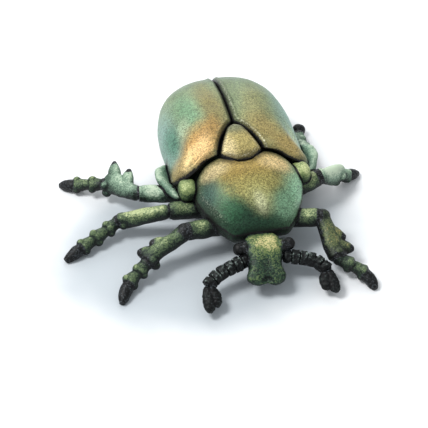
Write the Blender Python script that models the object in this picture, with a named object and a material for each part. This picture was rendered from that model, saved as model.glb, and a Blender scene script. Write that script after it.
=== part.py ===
"""A moulded toy figure of a rose chafer, walking, with its feet on the floor.

Sizes are in millimetres while the pieces are built and become metres at the end.
The head points along -Y, the beetle's own left is +X and the floor is z = 0.
"""

from bisect import bisect_right
from math import cos, pi, sin, sqrt

import bmesh
import bpy
from mathutils import Matrix, Vector

METRES_PER_MM = 0.001
GAP = 0.3
# How much further a corner may move than a flat face when a piece is grown
MITRE_LIMIT = 1.8
# How far along a limb, in both directions, its direction is measured
LOOK_AHEAD = 0.02
SIDES = (("left", 1), ("right", -1))

# The domed back, which the wing cases and the scutellum share
MARGIN_HEIGHT = 8.5
BACK_CENTRE = 16.0
BACK_END = 41.4
BACK_POWER = 2.5
BACK_TOPS = (
    (-8, 14.5), (0, 17.6), (5, 19.4), (10, 20.5), (16, 21.0), (22, 20.8), (27, 19.9),
    (31, 18.9), (34.5, 17.1), (37.5, 14.8), (39.6, 12.2), (40.8, 10.0), (BACK_END, 8.7),
)
BACK_HALF_WIDTHS = (
    (-8, 15.6), (0, 17.5), (4, 18.0), (8, 17.8), (13, 17.7), (18, 17.8), (24, 17.4),
    (29, 16.4), (33, 14.9), (36, 13.0), (38.5, 10.4), (40.3, 7.0), (41.1, 3.6), (BACK_END, 1.5),
)
CASE_THICKNESS = 2.0
CASE_FRONT = ((6.0, 3.4), (7.3, 3.2), (9.9, 2.6), (12.0, 1.3), (14.4, 0.9), (16.3, 1.3), (17.6, 2.7))
CASE_INNER = (
    (6.0, 3.4), (4.9, 6.4), (3.1, 9.4), (1.2, 11.7), (0.15, 13.0), (0.15, 20), (0.15, 30), (0.15, 41.2),
)
CASE_OUTER_PLACES = (5, 8, 13, 18, 24, 29, 33, 36, 38.5, 40.3, 41.1)
CASE_OUTER_END = (1.5, 41.38)
CASE_NEAR_SUTURE = (0, 0.03, 0.08)
CASE_NEAR_FRONT = (0, 0.02, 0.05)
CASE_CROWDING = 0.8
EDGE_ROLL = 0.8
EDGE_ROLL_WIDTH = 1.4

# The pronotum and the body under it
PRONOTUM_RIM = (
    (0, -18.6), (6.6, -18.15), (9.0, -16.1), (11.1, -12.9), (12.85, -9.0), (13.75, -5.3),
    (13.7, -2.7), (12.05, -0.05), (9.3, 2.1), (6.4, 2.8), (4.3, 2.0), (1.6, 0.0), (0, -0.15),
)
PRONOTUM_PLACE = (0.3, 0.9, 0)
PRONOTUM_TOPS = (
    (-19, 9.6), (-18.3, 10.3), (-16, 12.7), (-14, 14.3), (-11, 15.9), (-7, 17.1), (-3, 17.7), (4, 17.6),
)
PRONOTUM_HALF_WIDTHS = (
    (-19, 8.6), (-15.6, 10.2), (-12.6, 11.8), (-9, 13.6), (-5.2, 14.7), (0, 14.8), (4, 14.3),
)
PRONOTUM_MARGIN = 8.0
PRONOTUM_RIM_THICKNESS = 1.0
PRONOTUM_HUB = (0, -7.5)
PRONOTUM_STEPS = (0.15, 0.4, 0.62, 0.8, 0.92, 0.975, 1)
BREAST_BOTTOM = 3.5

SCUTELLUM_RIM = (
    (0, 0.75), (1.4, 0.8), (2.7, 1.2), (4.2, 2.2), (5.2, 3.2),
    (4.7, 5.0), (3.9, 6.9), (2.8, 9.1), (1.6, 10.9), (0, 11.7),
)
SCUTELLUM_HUB = (0, 4.6)
SCUTELLUM_RISE = 0.2
SCUTELLUM_THICKNESS = 2.6
SCUTELLUM_STEPS = (0.25, 0.6, 0.85, 1)

# The side plates: a rounded one at each shoulder and an ear-shaped one below it
MESEPIMERON_PLACE = (14.6, -1.0, 11.2)
MESEPIMERON_RADII = (2.4, 2.9, 2.9)
LOBE_STATIONS = (
    ((17.0, -0.6, 9.0), 0.8), ((17.7, 0.6, 9.0), 1.3), ((18.6, 3.2, 8.8), 1.9),
    ((19.1, 6.4, 8.8), 2.4), ((18.8, 9.4, 8.8), 2.1), ((18.1, 11.0, 8.6), 1.1),
)
LOBE_LEAN = (0.72, 0, 0.69)
LOBE_HALF_THICKNESS = 0.95

# The underside: place along Y, half-width and lowest point
BELLY_WIDTHS = (
    (-6.5, 9.0), (-4, 13.4), (0, 15.8), (8, 16.0), (18, 16.8), (25, 16.2), (31, 14.4), (35, 11.8), (38, 8.5),
)
BELLY_BOTTOMS = ((-6.5, 5.0), (-3, 3.3), (8, 2.9), (20, 3.1), (30, 3.9), (35, 4.9), (38, 6.0))
BREAST_STATIONS = (-6.5, -5, -3, 0, 4, 8)
BELLY_END = 37.0
WAIST = 13.0
PYGIDIUM_CENTRE = (0, 35.0, 7.3)
PYGIDIUM_RADII = (10.8, 5.2, 3.3)
STERNITES = 5
STERNITE_STEP = 0.35
STERNITE_SLOPES = (0.6, 0.4)
TRUNK_POINTS = 11
BELLY_FLATNESS = 0.7
SHOULDER_DROP = 1.1

# The head: distance along its axis, half-width, rise and drop
NECK = Vector((0.1, -17.0, 7.7))
HEAD_AXIS = Vector((-0.1177, -0.9587, -0.2588)).normalized()
HEAD_UP = Vector((0.03, -0.25, 0.965)).normalized()
HEAD_WIDTHS = (
    (0, 3.4), (2.0, 4.7), (3.6, 4.9), (6.6, 4.4), (9.0, 4.1),
    (11.2, 4.75), (12.4, 4.5), (13.2, 3.6), (13.6, 2.4),
)
HEAD_RISES = ((0, 1.8), (2.0, 2.8), (3.6, 3.2), (9.0, 2.3), (12.6, 1.5), (13.6, 0.7))
HEAD_DROPS = ((0, 1.8), (3.6, 2.6), (9.0, 2.0), (12.6, 1.2), (13.6, 0.5))
HEAD_STATIONS = (0, 1.2, 2.4, 3.8, 5.4, 7.2, 9.0, 10.6, 11.8, 12.7, 13.25, 13.6)
HEAD_BOXINESS = 3.0
NOTCH_START = 11.4
NOTCH_DEPTH = 1.3
NOTCH_HALF_WIDTH = 1.8
EYE_RADIUS = 1.55
SOCKET_RADIUS = 1.75
SOCKET_DEPTH = 1.5
EYES = {"left": (6.0, -21.3, 8.0), "right": (-6.2, -20.5, 8.0)}

# The antennae: each stalk is a string of beads, each bead's profile given by (place, size), and each
# leaf of a club by (how far it stands to the side, its share of the length)
STALK_RADIUS = 1.6
STALK_BEADS = 6
BEAD_PROFILE = ((0.0, 0.8), (0.3, 1.0), (0.75, 1.0))
STALKS = {
    "left": (
        (4.2, -22.9, 5.8), (7.9, -23.8, 5.3), (11.3, -25.0, 4.8), (13.3, -27.0, 4.3), (14.0, -28.4, 3.8),
    ),
    "right": (
        (-4.4, -22.6, 6.2), (-8.4, -23.8, 5.9), (-11.3, -24.7, 5.4), (-13.9, -26.0, 4.8), (-15.6, -27.5, 4.3),
    ),
}
CLUB_TIPS = {"left": (14.7, -34.3, 2.2), "right": (-16.4, -34.0, 2.3)}
CLUB_LEAVES = ((0.0, 1.0), (1.98, 0.86))
CLUB_RADII = ((0, 0.9), (0.12, 1.35), (0.5, 1.6), (0.85, 1.25), (1, 0.5))
CLUB_SHARES = (0, 0.08, 0.25, 0.5, 0.75, 0.9, 1)
CLUB_BEND = 0.25
CLUB_LEAN = 0.1
CLUB_FLATNESS = 0.8

# Legs: root, knee, ankle, claw base and tip, the tarsal segments, how far the tibia reaches from its own
# line on its outer and inner edge, and each spine's share along the tibia with its tip
LEGS = {
    "front_left": dict(
        root=(5.0, -11.0, 6.4), knee=(16.5, -14.2, 8.0), ankle=(17.8, -25.2, 4.0), blade=(2.3, 2.0),
        claw=(23.6, -29.6, 1.8), tip=(24.7, -33.9, 0.55), segments=2,
        spines=((0.4, (20.9, -20.5, 6.0)), (0.7, (22.2, -23.4, 4.5))),
    ),
    "front_right": dict(
        root=(-5.0, -10.5, 6.4), knee=(-17.7, -11.7, 8.0), ankle=(-28.2, -16.5, 4.2), blade=(2.9, 1.5),
        claw=(-33.8, -20.2, 1.9), tip=(-36.1, -25.0, 0.55), segments=2,
        spines=((0.48, (-26.7, -12.2, 7.0)), (0.76, (-30.1, -13.4, 5.6))),
    ),
    "mid_left": dict(
        root=(7.8, -3.4, 6.0), knee=(19.9, -0.6, 8.8), ankle=(26.6, 3.2, 4.6), blade=(3.1, 2.8),
        claw=(29.4, 5.4, 1.9), tip=(33.2, 6.9, 0.6), segments=1, spines=(),
    ),
    "mid_right": dict(
        root=(-7.0, -3.5, 6.0), knee=(-20.0, -3.1, 7.5), ankle=(-32.6, -0.5, 4.0), blade=(2.3, 2.2),
        claw=(-43.1, -5.7, 1.9), tip=(-47.2, -7.8, 0.6), segments=3, spines=(),
    ),
    "hind_left": dict(
        root=(8.5, 5.0, 5.6), knee=(19.6, 8.6, 6.4), ankle=(20.2, 17.0, 4.2), blade=(2.2, 2.1),
        claw=(21.0, 23.2, 1.9), tip=(22.6, 27.3, 0.6), segments=2, spines=(),
    ),
    "hind_right": dict(
        root=(-8.5, 2.5, 5.8), knee=(-26.1, 4.9, 7.4), ankle=(-33.4, 14.0, 4.0), blade=(3.6, 2.1),
        claw=(-41.2, 17.8, 1.9), tip=(-44.8, 19.8, 0.6), segments=2,
        spines=((0.4, (-27.1, 13.0, 9.0)), (0.72, (-30.2, 18.4, 7.6))),
    ),
}
FEMUR_RADII = ((0, 1.8), (0.12, 2.1), (0.6, 2.35), (1, 2.15))
FEMUR_SHARES = (0, 0.12, 0.3, 0.5, 0.75, 1)
TIBIA_KNEE_RADIUS = 2.05
TIBIA_THICKNESS = 1.9
TIBIA_SPREAD = ((0, 0.55), (0.08, 1), (0.3, 1), (0.95, 1), (1, 0.6))
TIBIA_WIDENING = ((0, 0), (0.15, 0), (0.7, 1), (1, 0.8))
TIBIA_SHARES = (0, 0.07, 0.2, 0.4, 0.6, 0.78, 0.9, 0.96, 1)
SPINE_RADII = ((0, 2.0), (1, 0.55))
SPINE_SHARES = (0, 0.6, 1)
TARSUS_PROFILE = ((0.0, 1.35), (0.55, 1.6875), (0.85, 2.05))
TARSUS_FLATNESS = 0.85
CLAW_PROFILE = ((0.0, 1.5), (0.35, 1.62), (0.7, 1.275), (0.97, 0.55))

# Each paint's colour, roughness and metallic share
PAINTS = {
    "gold": ((0.42, 0.30, 0.10), 0.45, 0.6),
    "green": ((0.16, 0.32, 0.20), 0.45, 0.5),
    "leg": ((0.20, 0.30, 0.12), 0.5, 0.4),
    "black": ((0.02, 0.02, 0.022), 0.5, 0.0),
}


def through(stations, at):
    """The value here on a smooth line through (place, value) stations, with no overshoot."""
    places = [place for place, _ in stations]
    values = [value for _, value in stations]
    last = len(places) - 1
    at = min(max(at, places[0]), places[-1])
    rates = [(values[i + 1] - values[i]) / (places[i + 1] - places[i]) for i in range(last)]

    def slope(i):
        if i in (0, last):
            return rates[min(i, last - 1)]
        before, after = rates[i - 1], rates[i]
        return 2 * before * after / (before + after) if before * after > 0 else 0.0

    i = min(bisect_right(places, at) - 1, last - 1)
    width = places[i + 1] - places[i]
    t = (at - places[i]) / width
    rise = values[i + 1] - values[i]
    start, end = slope(i) * width, slope(i + 1) * width
    return values[i] + t * (start + t * (3 * rise - 2 * start - end + t * (start + end - 2 * rise)))


def route(points):
    """A function of a share from 0 to 1 that runs smoothly through the points."""
    reach = [0.0]
    for near, far in zip(points, points[1:]):
        reach.append(reach[-1] + (Vector(far) - Vector(near)).length)
    tracks = [
        [(distance / reach[-1], point[axis]) for distance, point in zip(reach, points)]
        for axis in range(len(points[0]))
    ]
    return lambda share: Vector([through(track, share) for track in tracks])


def spread(count, start=0.0, end=1.0):
    return [start + (end - start) * i / (count - 1) for i in range(count)]


def loft(rings, strip=False):
    """A closed mesh through rings of points; the ends of a flat strip are closed from side to side."""
    bm = bmesh.new()
    rows = [[bm.verts.new(point) for point in ring] for ring in rings]
    count = len(rows[0])
    for near, far in zip(rows, rows[1:]):
        for i in range(count):
            j = (i + 1) % count
            bm.faces.new((near[i], near[j], far[j], far[i]))
    for row in (rows[0], rows[-1]):
        if strip:
            for i in range(count // 2 - 1):
                bm.faces.new((row[i], row[i + 1], row[-2 - i], row[-1 - i]))
        else:
            bm.faces.new(row)
    bmesh.ops.triangulate(bm, faces=bm.faces)
    bmesh.ops.recalc_face_normals(bm, faces=bm.faces)
    return bm


def oval(centre, along, up, half_wide, half_high, sides, power=2.0):
    """A ring of points round a centre, square to a direction; a higher power is boxier."""
    across = Vector(along).cross(Vector(up)).normalized()
    upright = across.cross(Vector(along)).normalized()
    ring = []
    for i in range(sides):
        turn = 2 * pi * (i + 0.5) / sides
        wide = abs(cos(turn)) ** (2 / power) * (1 if cos(turn) > 0 else -1)
        high = abs(sin(turn)) ** (2 / power) * (1 if sin(turn) > 0 else -1)
        ring.append(centre + across * half_wide * wide + upright * half_high * high)
    return ring


def limb(points, radii, shares, sides=9, flat=1.0):
    """A round rod along a smooth line through points, its radius given at shares of its length."""
    line = route(points)
    rings = []
    for share in shares:
        along = line(min(share + LOOK_AHEAD, 1)) - line(max(share - LOOK_AHEAD, 0))
        radius = through(radii, share)
        rings.append(oval(line(share), along, (0, 0, 1), radius, radius * flat, sides))
    return loft(rings)


def material(name, colour, roughness, metallic):
    made = bpy.data.materials.new(name)
    made.use_nodes = True
    shader = made.node_tree.nodes["Principled BSDF"]
    shader.inputs["Base Color"].default_value = (*colour, 1)
    shader.inputs["Roughness"].default_value = roughness
    shader.inputs["Metallic"].default_value = metallic
    made.diffuse_color = (*colour, 1)
    return made


def collection(name):
    made = bpy.data.collections.new(name)
    bpy.context.scene.collection.children.link(made)
    return made


def piece(name, bm, finish, group):
    """A named object from a bmesh, which it frees."""
    mesh = bpy.data.meshes.new(name)
    bm.to_mesh(mesh)
    bm.free()
    mesh.materials.append(finish)
    made = bpy.data.objects.new(name, mesh)
    group.objects.link(made)
    return made


def largest_surface(mesh):
    """Keeps the closed surface that holds the most and drops the rest."""
    bm = bmesh.new()
    bm.from_mesh(mesh)
    left = set(bm.verts)
    shells = []
    while left:
        shell, edge = set(), [left.pop()]
        while edge:
            vert = edge.pop()
            shell.add(vert)
            for link in vert.link_edges:
                other = link.other_vert(vert)
                if other in left:
                    left.discard(other)
                    edge.append(other)
        shells.append(shell)

    def volume(shell):
        faces = {face for vert in shell for face in vert.link_faces}
        return sum(face.calc_area() * face.normal.dot(face.calc_center_median()) for face in faces)

    shells.sort(key=volume)
    for shell in shells[:-1]:
        bmesh.ops.delete(bm, geom=list(shell), context="VERTS")
    bm.to_mesh(mesh)
    bm.free()


def combine(host, operation, others):
    """One Boolean of the host with a few others, applied, after which the others are gone."""
    tools = collection("tools")
    for other in others:
        for group in list(other.users_collection):
            group.objects.unlink(other)
        tools.objects.link(other)
        other.hide_render = True
        other.display_type = "WIRE"
    modifier = host.modifiers.new(operation.title(), "BOOLEAN")
    modifier.operand_type = "COLLECTION"
    modifier.collection = tools
    modifier.operation = operation
    modifier.solver = "MANIFOLD"
    bpy.context.view_layer.update()
    ready = host.evaluated_get(bpy.context.evaluated_depsgraph_get())
    mesh = bpy.data.meshes.new_from_object(ready)
    host.modifiers.clear()
    old, host.data = host.data, mesh
    bpy.data.meshes.remove(old)
    mesh.name = host.name
    largest_surface(mesh)
    for other in list(tools.objects):
        bpy.data.objects.remove(other)
    bpy.data.collections.remove(tools)


def grown(host, by):
    """A copy of a piece with every face moved out."""
    bm = bmesh.new()
    bm.from_mesh(host.data)
    bm.normal_update()
    moves = [vert.normal * by * min(vert.calc_shell_factor(), MITRE_LIMIT) for vert in bm.verts]
    for vert, move in zip(bm.verts, moves):
        vert.co += move
    return piece(host.name + "_clearance", bm, host.data.materials[0], bpy.context.scene.collection)


def clear_of(host, neighbours):
    """Cuts the host back from its neighbours, so that they meet face to face with the gap between."""
    combine(host, "DIFFERENCE", [grown(neighbour, GAP) for neighbour in neighbours])


def back_height(x, y):
    """The height of the wing cases' shared dome."""
    side = min(abs(x) / through(BACK_HALF_WIDTHS, y), 1)
    return MARGIN_HEIGHT + (through(BACK_TOPS, y) - MARGIN_HEIGHT) * sqrt(1 - side**BACK_POWER)


def height_inside(x, y, inset):
    """The height of a smaller copy of the dome, this far inside it."""
    y = BACK_CENTRE + (y - BACK_CENTRE) / (1 - inset / (BACK_END - BACK_CENTRE))
    x = x / (1 - inset / through(BACK_HALF_WIDTHS, y))
    down = 1 - inset / (through(BACK_TOPS, BACK_CENTRE) - MARGIN_HEIGHT)
    return MARGIN_HEIGHT + (back_height(x, y) - MARGIN_HEIGHT) * down


def edge_roll(distance):
    return EDGE_ROLL * max(0.0, 1 - distance / EDGE_ROLL_WIDTH) ** 2


def wing_case(name, side, finish, group):
    """One elytron: a plan patch between four edges, raised on the dome and backed by a smaller copy of it."""
    front = route(CASE_FRONT)
    inner = route(CASE_INNER)
    margin = [(through(BACK_HALF_WIDTHS, y), y) for y in CASE_OUTER_PLACES]
    outer = route([CASE_FRONT[-1], *margin, CASE_OUTER_END])
    crosswise = [*CASE_NEAR_SUTURE, *(sin(share * pi / 2) ** CASE_CROWDING for share in spread(8, 0.18, 1))]
    lengthwise = [*CASE_NEAR_FRONT, *spread(8, 0.12, 0.7), *spread(6, 0.76, 1)]
    start, end = front(0), front(1)

    def plan(u, v):
        bend = (front(u) - start.lerp(end, u)) * (1 - v)
        return inner(v).lerp(outer(v), u) + bend

    def shell(x, y, z, inset):
        across = 1 - inset / through(BACK_HALF_WIDTHS, y)
        lengthways = 1 - inset / (BACK_END - BACK_CENTRE)
        down = 1 - inset / (through(BACK_TOPS, BACK_CENTRE) - MARGIN_HEIGHT)
        return (
            side * max(x * across, CASE_INNER[-1][0]),
            BACK_CENTRE + (y - BACK_CENTRE) * lengthways,
            MARGIN_HEIGHT + (z - MARGIN_HEIGHT) * down,
        )

    outside, inside = [], []
    for v in lengthwise:
        over, under = [], []
        for u in crosswise:
            x, y = plan(u, v)
            z = back_height(x, y)
            to_edge = min((plan(u, v) - inner(v)).length, (plan(u, v) - front(u)).length)
            over.append(shell(x, y, z - edge_roll(to_edge), 0))
            under.append(shell(x, y, z, CASE_THICKNESS))
        outside.append(over)
        inside.append(under)
    rings = [over + under[::-1] for over, under in zip(outside, inside)]
    return piece(name, loft(rings, strip=True), finish, group)


def mirrored_rim(half, count):
    """A closed plan outline from its +X half, which runs from one end of the midline to the other."""
    line = route(half)
    right = [line(share) for share in spread(count)]
    left = [Vector((-point.x, point.y)) for point in right[-2:0:-1]]
    return right + left


def dish(rim, hub, top, bottom, steps):
    """A closed body over a plan rim: rings shrink to the hub above, then open again below."""
    hub = Vector(hub)

    def ring(step, height):
        spots = [hub.lerp(point, step) for point in rim]
        return [Vector((spot.x, spot.y, height(spot, point, step))) for spot, point in zip(spots, rim)]

    above = [ring(step, top) for step in steps]
    below = [ring(step, bottom) for step in reversed(steps)]
    return loft(above + below)


def pronotum_height(x, y):
    side = min(abs(x) / through(PRONOTUM_HALF_WIDTHS, y), 1)
    rise = through(PRONOTUM_TOPS, y) - PRONOTUM_MARGIN
    return PRONOTUM_MARGIN + rise * sqrt(1 - side**BACK_POWER)


def prothorax(finish, group):
    def top(spot, point, step):
        return pronotum_height(spot.x, spot.y) - edge_roll((point - spot).length)

    def bottom(spot, point, step):
        rim = pronotum_height(point.x, point.y) - EDGE_ROLL - PRONOTUM_RIM_THICKNESS
        return rim - (rim - BREAST_BOTTOM) * sqrt(1 - step**BACK_POWER)

    bm = dish(mirrored_rim(PRONOTUM_RIM, 14), PRONOTUM_HUB, top, bottom, PRONOTUM_STEPS)
    bmesh.ops.translate(bm, vec=PRONOTUM_PLACE, verts=bm.verts)
    return piece("prothorax", bm, finish, group)


def scutellum(finish, group):
    def top(spot, point, step):
        return back_height(spot.x, spot.y) + SCUTELLUM_RISE - edge_roll((point - spot).length)

    def bottom(spot, point, step):
        return back_height(spot.x, spot.y) - SCUTELLUM_THICKNESS

    rim = mirrored_rim(SCUTELLUM_RIM, 10)
    return piece("scutellum", dish(rim, SCUTELLUM_HUB, top, bottom, SCUTELLUM_STEPS), finish, group)


def trunk(name, stations, finish, group):
    """A length of the body, in rings that fill the hollow of the wing cases and stand out below them."""
    rings = []
    for y, tuck in stations:
        wide = through(BELLY_WIDTHS, y) - tuck
        low = through(BELLY_BOTTOMS, y) + tuck
        ring = []
        for turn in spread(TRUNK_POINTS, 0, pi):
            x = wide * cos(turn)
            top = height_inside(x, y, CASE_THICKNESS + 2 * GAP)
            ring.append(Vector((x, y, top - SHOULDER_DROP * cos(turn) ** 2)))
        for turn in spread(TRUNK_POINTS, pi, 2 * pi)[1:-1]:
            depth = (MARGIN_HEIGHT - SHOULDER_DROP - low) * abs(sin(turn)) ** BELLY_FLATNESS
            ring.append(Vector((wide * cos(turn), y, MARGIN_HEIGHT - SHOULDER_DROP - depth)))
        rings.append(ring)
    return piece(name, loft(rings), finish, group)


def head(finish, group):
    rings = []
    across = HEAD_AXIS.cross(HEAD_UP).normalized()
    notch_length = HEAD_STATIONS[-1] - NOTCH_START
    for reach in HEAD_STATIONS:
        centre = NECK + HEAD_AXIS * reach
        rise = through(HEAD_RISES, reach)
        drop = through(HEAD_DROPS, reach)
        middle = centre + HEAD_UP * (rise - drop) / 2
        ring = oval(
            middle, HEAD_AXIS, HEAD_UP, through(HEAD_WIDTHS, reach), (rise + drop) / 2, 16, HEAD_BOXINESS
        )
        dent = max(0.0, (reach - NOTCH_START) / notch_length) * NOTCH_DEPTH
        for point in ring:
            point -= HEAD_AXIS * dent * max(0.0, 1 - abs((point - middle).dot(across)) / NOTCH_HALF_WIDTH)
        rings.append(ring)
    skull = piece("head", loft(rings), finish, group)
    inward = {"left": Vector((-SOCKET_DEPTH, 0, 0)), "right": Vector((SOCKET_DEPTH, 0, 0))}
    spots = [Vector(EYES[side]) + inward[side] for side, _ in SIDES]
    combine(skull, "UNION", [ball("socket", spot, (SOCKET_RADIUS,) * 3, finish, group) for spot in spots])
    return skull


def ball(name, centre, radii, finish, group, rings=6, sides=12):
    bm = bmesh.new()
    bmesh.ops.create_uvsphere(bm, u_segments=sides, v_segments=rings, radius=1)
    bmesh.ops.scale(bm, vec=radii, verts=bm.verts)
    bmesh.ops.translate(bm, vec=centre, verts=bm.verts)
    bmesh.ops.triangulate(bm, faces=bm.faces)
    return piece(name, bm, finish, group)


def stalk(side, finish, group):
    """An antenna's stalk: a string of beads, narrow between them."""
    radii = []
    for i in range(STALK_BEADS):
        for place, size in BEAD_PROFILE:
            radii.append(((i + place) / STALK_BEADS, STALK_RADIUS * size))
    radii.append((1, STALK_RADIUS * BEAD_PROFILE[0][1]))
    shares = [place for place, _ in radii]
    return piece(f"antenna_{side}_stalk", limb(STALKS[side], radii, shares, 7), finish, group)


def club(side, finish, group):
    """An antenna's club: two leaves side by side, the outer one longer."""
    start = Vector(STALKS[side][-1])
    tip = Vector(CLUB_TIPS[side])
    inward = Vector((-1 if side == "left" else 1, CLUB_LEAN, 0))
    leaves = []
    for offset, length in CLUB_LEAVES:
        shift = inward * offset
        far = start.lerp(tip, length) + shift
        path = (start, start.lerp(far, 0.5) + shift * CLUB_BEND, far)
        leaf = limb(path, CLUB_RADII, CLUB_SHARES, 8, CLUB_FLATNESS)
        leaves.append(piece(f"antenna_{side}_club", leaf, finish, group))
    combine(leaves[0], "UNION", leaves[1:])
    return leaves[0]


def side_lobe(name, side, finish, group):
    """The ear-shaped side plate that stands out behind the shoulder."""
    mirror = Vector((side, 1, 1))
    rings = []
    lean = Vector(LOBE_LEAN) * mirror
    for centre, reach in LOBE_STATIONS:
        rings.append(oval(Vector(centre) * mirror, (0, 1, 0), lean, LOBE_HALF_THICKNESS, reach, 8))
    return piece(name, loft(rings), finish, group)


def femur(name, leg, finish, group):
    return piece(name, limb((leg["root"], leg["knee"]), FEMUR_RADII, FEMUR_SHARES), finish, group)


def tibia(name, leg, finish, group):
    """A tibia that widens into a blade at its foot end, with blunt spines along the outer edge."""
    knee, ankle = Vector(leg["knee"]), Vector(leg["ankle"])
    along = ankle - knee
    outward = Vector((0, 0, 1))
    if leg["spines"]:
        outward = sum((Vector(tip) - knee.lerp(ankle, share) for share, tip in leg["spines"]), Vector())
    outward = (outward - along * outward.dot(along) / along.length_squared).normalized()
    rings = []
    for share in TIBIA_SHARES:
        widening, size = through(TIBIA_WIDENING, share), through(TIBIA_SPREAD, share)
        outer = (TIBIA_KNEE_RADIUS + (leg["blade"][0] - TIBIA_KNEE_RADIUS) * widening) * size
        inner = (TIBIA_KNEE_RADIUS + (leg["blade"][1] - TIBIA_KNEE_RADIUS) * widening) * size
        centre = knee.lerp(ankle, share) + outward * (outer - inner) / 2
        rings.append(oval(centre, along, outward, TIBIA_THICKNESS * size, (outer + inner) / 2, 10))
    body = piece(name, loft(rings), finish, group)
    spines = []
    for share, tip in leg["spines"]:
        rod = limb((knee.lerp(ankle, share), tip), SPINE_RADII, SPINE_SHARES, 6)
        spines.append(piece(name + "_spine", rod, finish, group))
    if spines:
        combine(body, "UNION", spines)
    return body


def tarsus(name, leg, finish, group):
    """The foot: flared segments, then a blunt claw with a small flat on the floor."""
    ankle, claw, tip = Vector(leg["ankle"]), Vector(leg["claw"]), Vector(leg["tip"])
    count = leg["segments"]
    rings = []
    along = claw - ankle
    for i in range(count):
        for place, radius in TARSUS_PROFILE:
            centre = ankle.lerp(claw, (i + place) / count)
            rings.append(oval(centre, along, (0, 0, 1), radius, radius * TARSUS_FLATNESS, 8))
    toe = tip - claw
    for share, radius in CLAW_PROFILE:
        along_toe = toe if share else along + toe
        rings.append(oval(claw.lerp(tip, share), along_toe, (0, 0, 1), radius, radius, 8))
    bm = loft(rings)
    whole = bm.verts[:] + bm.edges[:] + bm.faces[:]
    sole = bmesh.ops.bisect_plane(bm, geom=whole, plane_co=(0, 0, 0), plane_no=(0, 0, -1), clear_outer=True)
    rim = [item for item in sole["geom_cut"] if isinstance(item, bmesh.types.BMEdge)]
    if rim:
        bmesh.ops.contextual_create(bm, geom=rim)
    bmesh.ops.triangulate(bm, faces=bm.faces)
    bmesh.ops.recalc_face_normals(bm, faces=bm.faces)
    return piece(name, bm, finish, group)


def sternite_stations():
    """Places along the abdomen, each with how far the skin is tucked in at the grooves between the plates."""
    stations = []
    length = (BELLY_END - WAIST) / STERNITES
    for i in range(STERNITES):
        start = WAIST + length * i
        end = start + length
        stations += [(start, STERNITE_STEP), (start + STERNITE_SLOPES[0], 0), (end - STERNITE_SLOPES[1], 0)]
    return [*stations, (BELLY_END, STERNITE_STEP)]


def body(paints, group):
    """The uncut pieces of the body, each under its node's name."""
    made = [
        prothorax(paints["green"], group),
        scutellum(paints["gold"], group),
        trunk("metathorax", [(y, 0) for y in (*BREAST_STATIONS, WAIST - GAP)], paints["leg"], group),
        trunk("abdomen", sternite_stations(), paints["leg"], group),
        ball("pygidium", PYGIDIUM_CENTRE, PYGIDIUM_RADII, paints["leg"], group, 7, 14),
        head(paints["green"], group),
    ]
    for side, sign in SIDES:
        x, y, z = MESEPIMERON_PLACE
        made += [
            wing_case(f"elytron_{side}", sign, paints["green"], group),
            ball(f"eye_{side}", EYES[side], (EYE_RADIUS,) * 3, paints["black"], group),
            stalk(side, paints["black"], group),
            club(side, paints["black"], group),
            ball(f"mesepimeron_{side}", (sign * x, y, z), MESEPIMERON_RADII, paints["leg"], group),
            side_lobe(f"side_lobe_{side}", sign, paints["green"], group),
        ]
    return {part.name: part for part in made}


def legs(paint, group):
    """The uncut pieces of the six legs, each under its node's name."""
    made = []
    for name, leg in LEGS.items():
        made += [
            femur(f"{name}_femur", leg, paint, group),
            tibia(f"{name}_tibia", leg, paint, group),
            tarsus(f"{name}_tarsus", leg, paint, group),
        ]
    return {part.name: part for part in made}


def fit_together(parts):
    """Cuts each piece back from those that it meets, the outer ones first."""
    def clear(name, *neighbours):
        clear_of(parts[name], [parts[neighbour] for neighbour in neighbours])

    for name in LEGS:
        clear(f"{name}_tibia", f"{name}_tarsus")
        clear(f"{name}_femur", f"{name}_tibia")
    clear("scutellum", "prothorax")
    for side, _ in SIDES:
        case, corner, lobe = f"elytron_{side}", f"mesepimeron_{side}", f"side_lobe_{side}"
        clear(case, "prothorax", "scutellum")
        clear(corner, "prothorax", case, f"mid_{side}_femur")
        clear(lobe, case, corner, f"mid_{side}_femur", f"hind_{side}_femur", f"hind_{side}_tibia")
        clear(f"antenna_{side}_stalk", f"antenna_{side}_club")
    both = [side for side, _ in SIDES]
    clear("head", *(f"eye_{side}" for side in both), *(f"antenna_{side}_stalk" for side in both))
    clear("prothorax", "head", *(f"{pair}_{side}_femur" for pair in ("front", "mid") for side in both))
    beside = [f"{plate}_{side}" for plate in ("mesepimeron", "side_lobe") for side in both]
    beside += [f"{pair}_{side}_femur" for pair in ("mid", "hind") for side in both]
    clear("metathorax", "prothorax", "scutellum", *beside)
    clear("pygidium", *(f"elytron_{side}" for side in both))
    clear("abdomen", "pygidium")


def settle(parts, group):
    """Centres the figure over the origin, turns it into metres and gives each piece its own centre."""
    lows = [min(v.co[axis] for part in parts for v in part.data.vertices) for axis in range(2)]
    highs = [max(v.co[axis] for part in parts for v in part.data.vertices) for axis in range(2)]
    shift = Vector((-(lows[0] + highs[0]) / 2, -(lows[1] + highs[1]) / 2, 0))
    origin = bpy.data.objects.new("rose_chafer_origin", None)
    group.objects.link(origin)
    for part in parts:
        middle = sum((v.co for v in part.data.vertices), Vector()) / len(part.data.vertices)
        part.data.transform(Matrix.Scale(METRES_PER_MM, 4) @ Matrix.Translation(-middle))
        part.location = (middle + shift) * METRES_PER_MM
        part.parent = origin
        part.data.shade_smooth()


def build():
    for old in list(bpy.data.objects):
        bpy.data.objects.remove(old)
    group = collection("rose_chafer")
    paints = {name: material(name + "_paint", *look) for name, look in PAINTS.items()}
    parts = body(paints, group)
    parts.update(legs(paints["leg"], group))
    fit_together(parts)
    settle(parts.values(), group)


build()
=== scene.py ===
from math import cos, pi, radians, sin, sqrt

import bmesh
import bpy
import numpy as np
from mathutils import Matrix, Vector, noise
from mathutils.bvhtree import BVHTree


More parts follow.
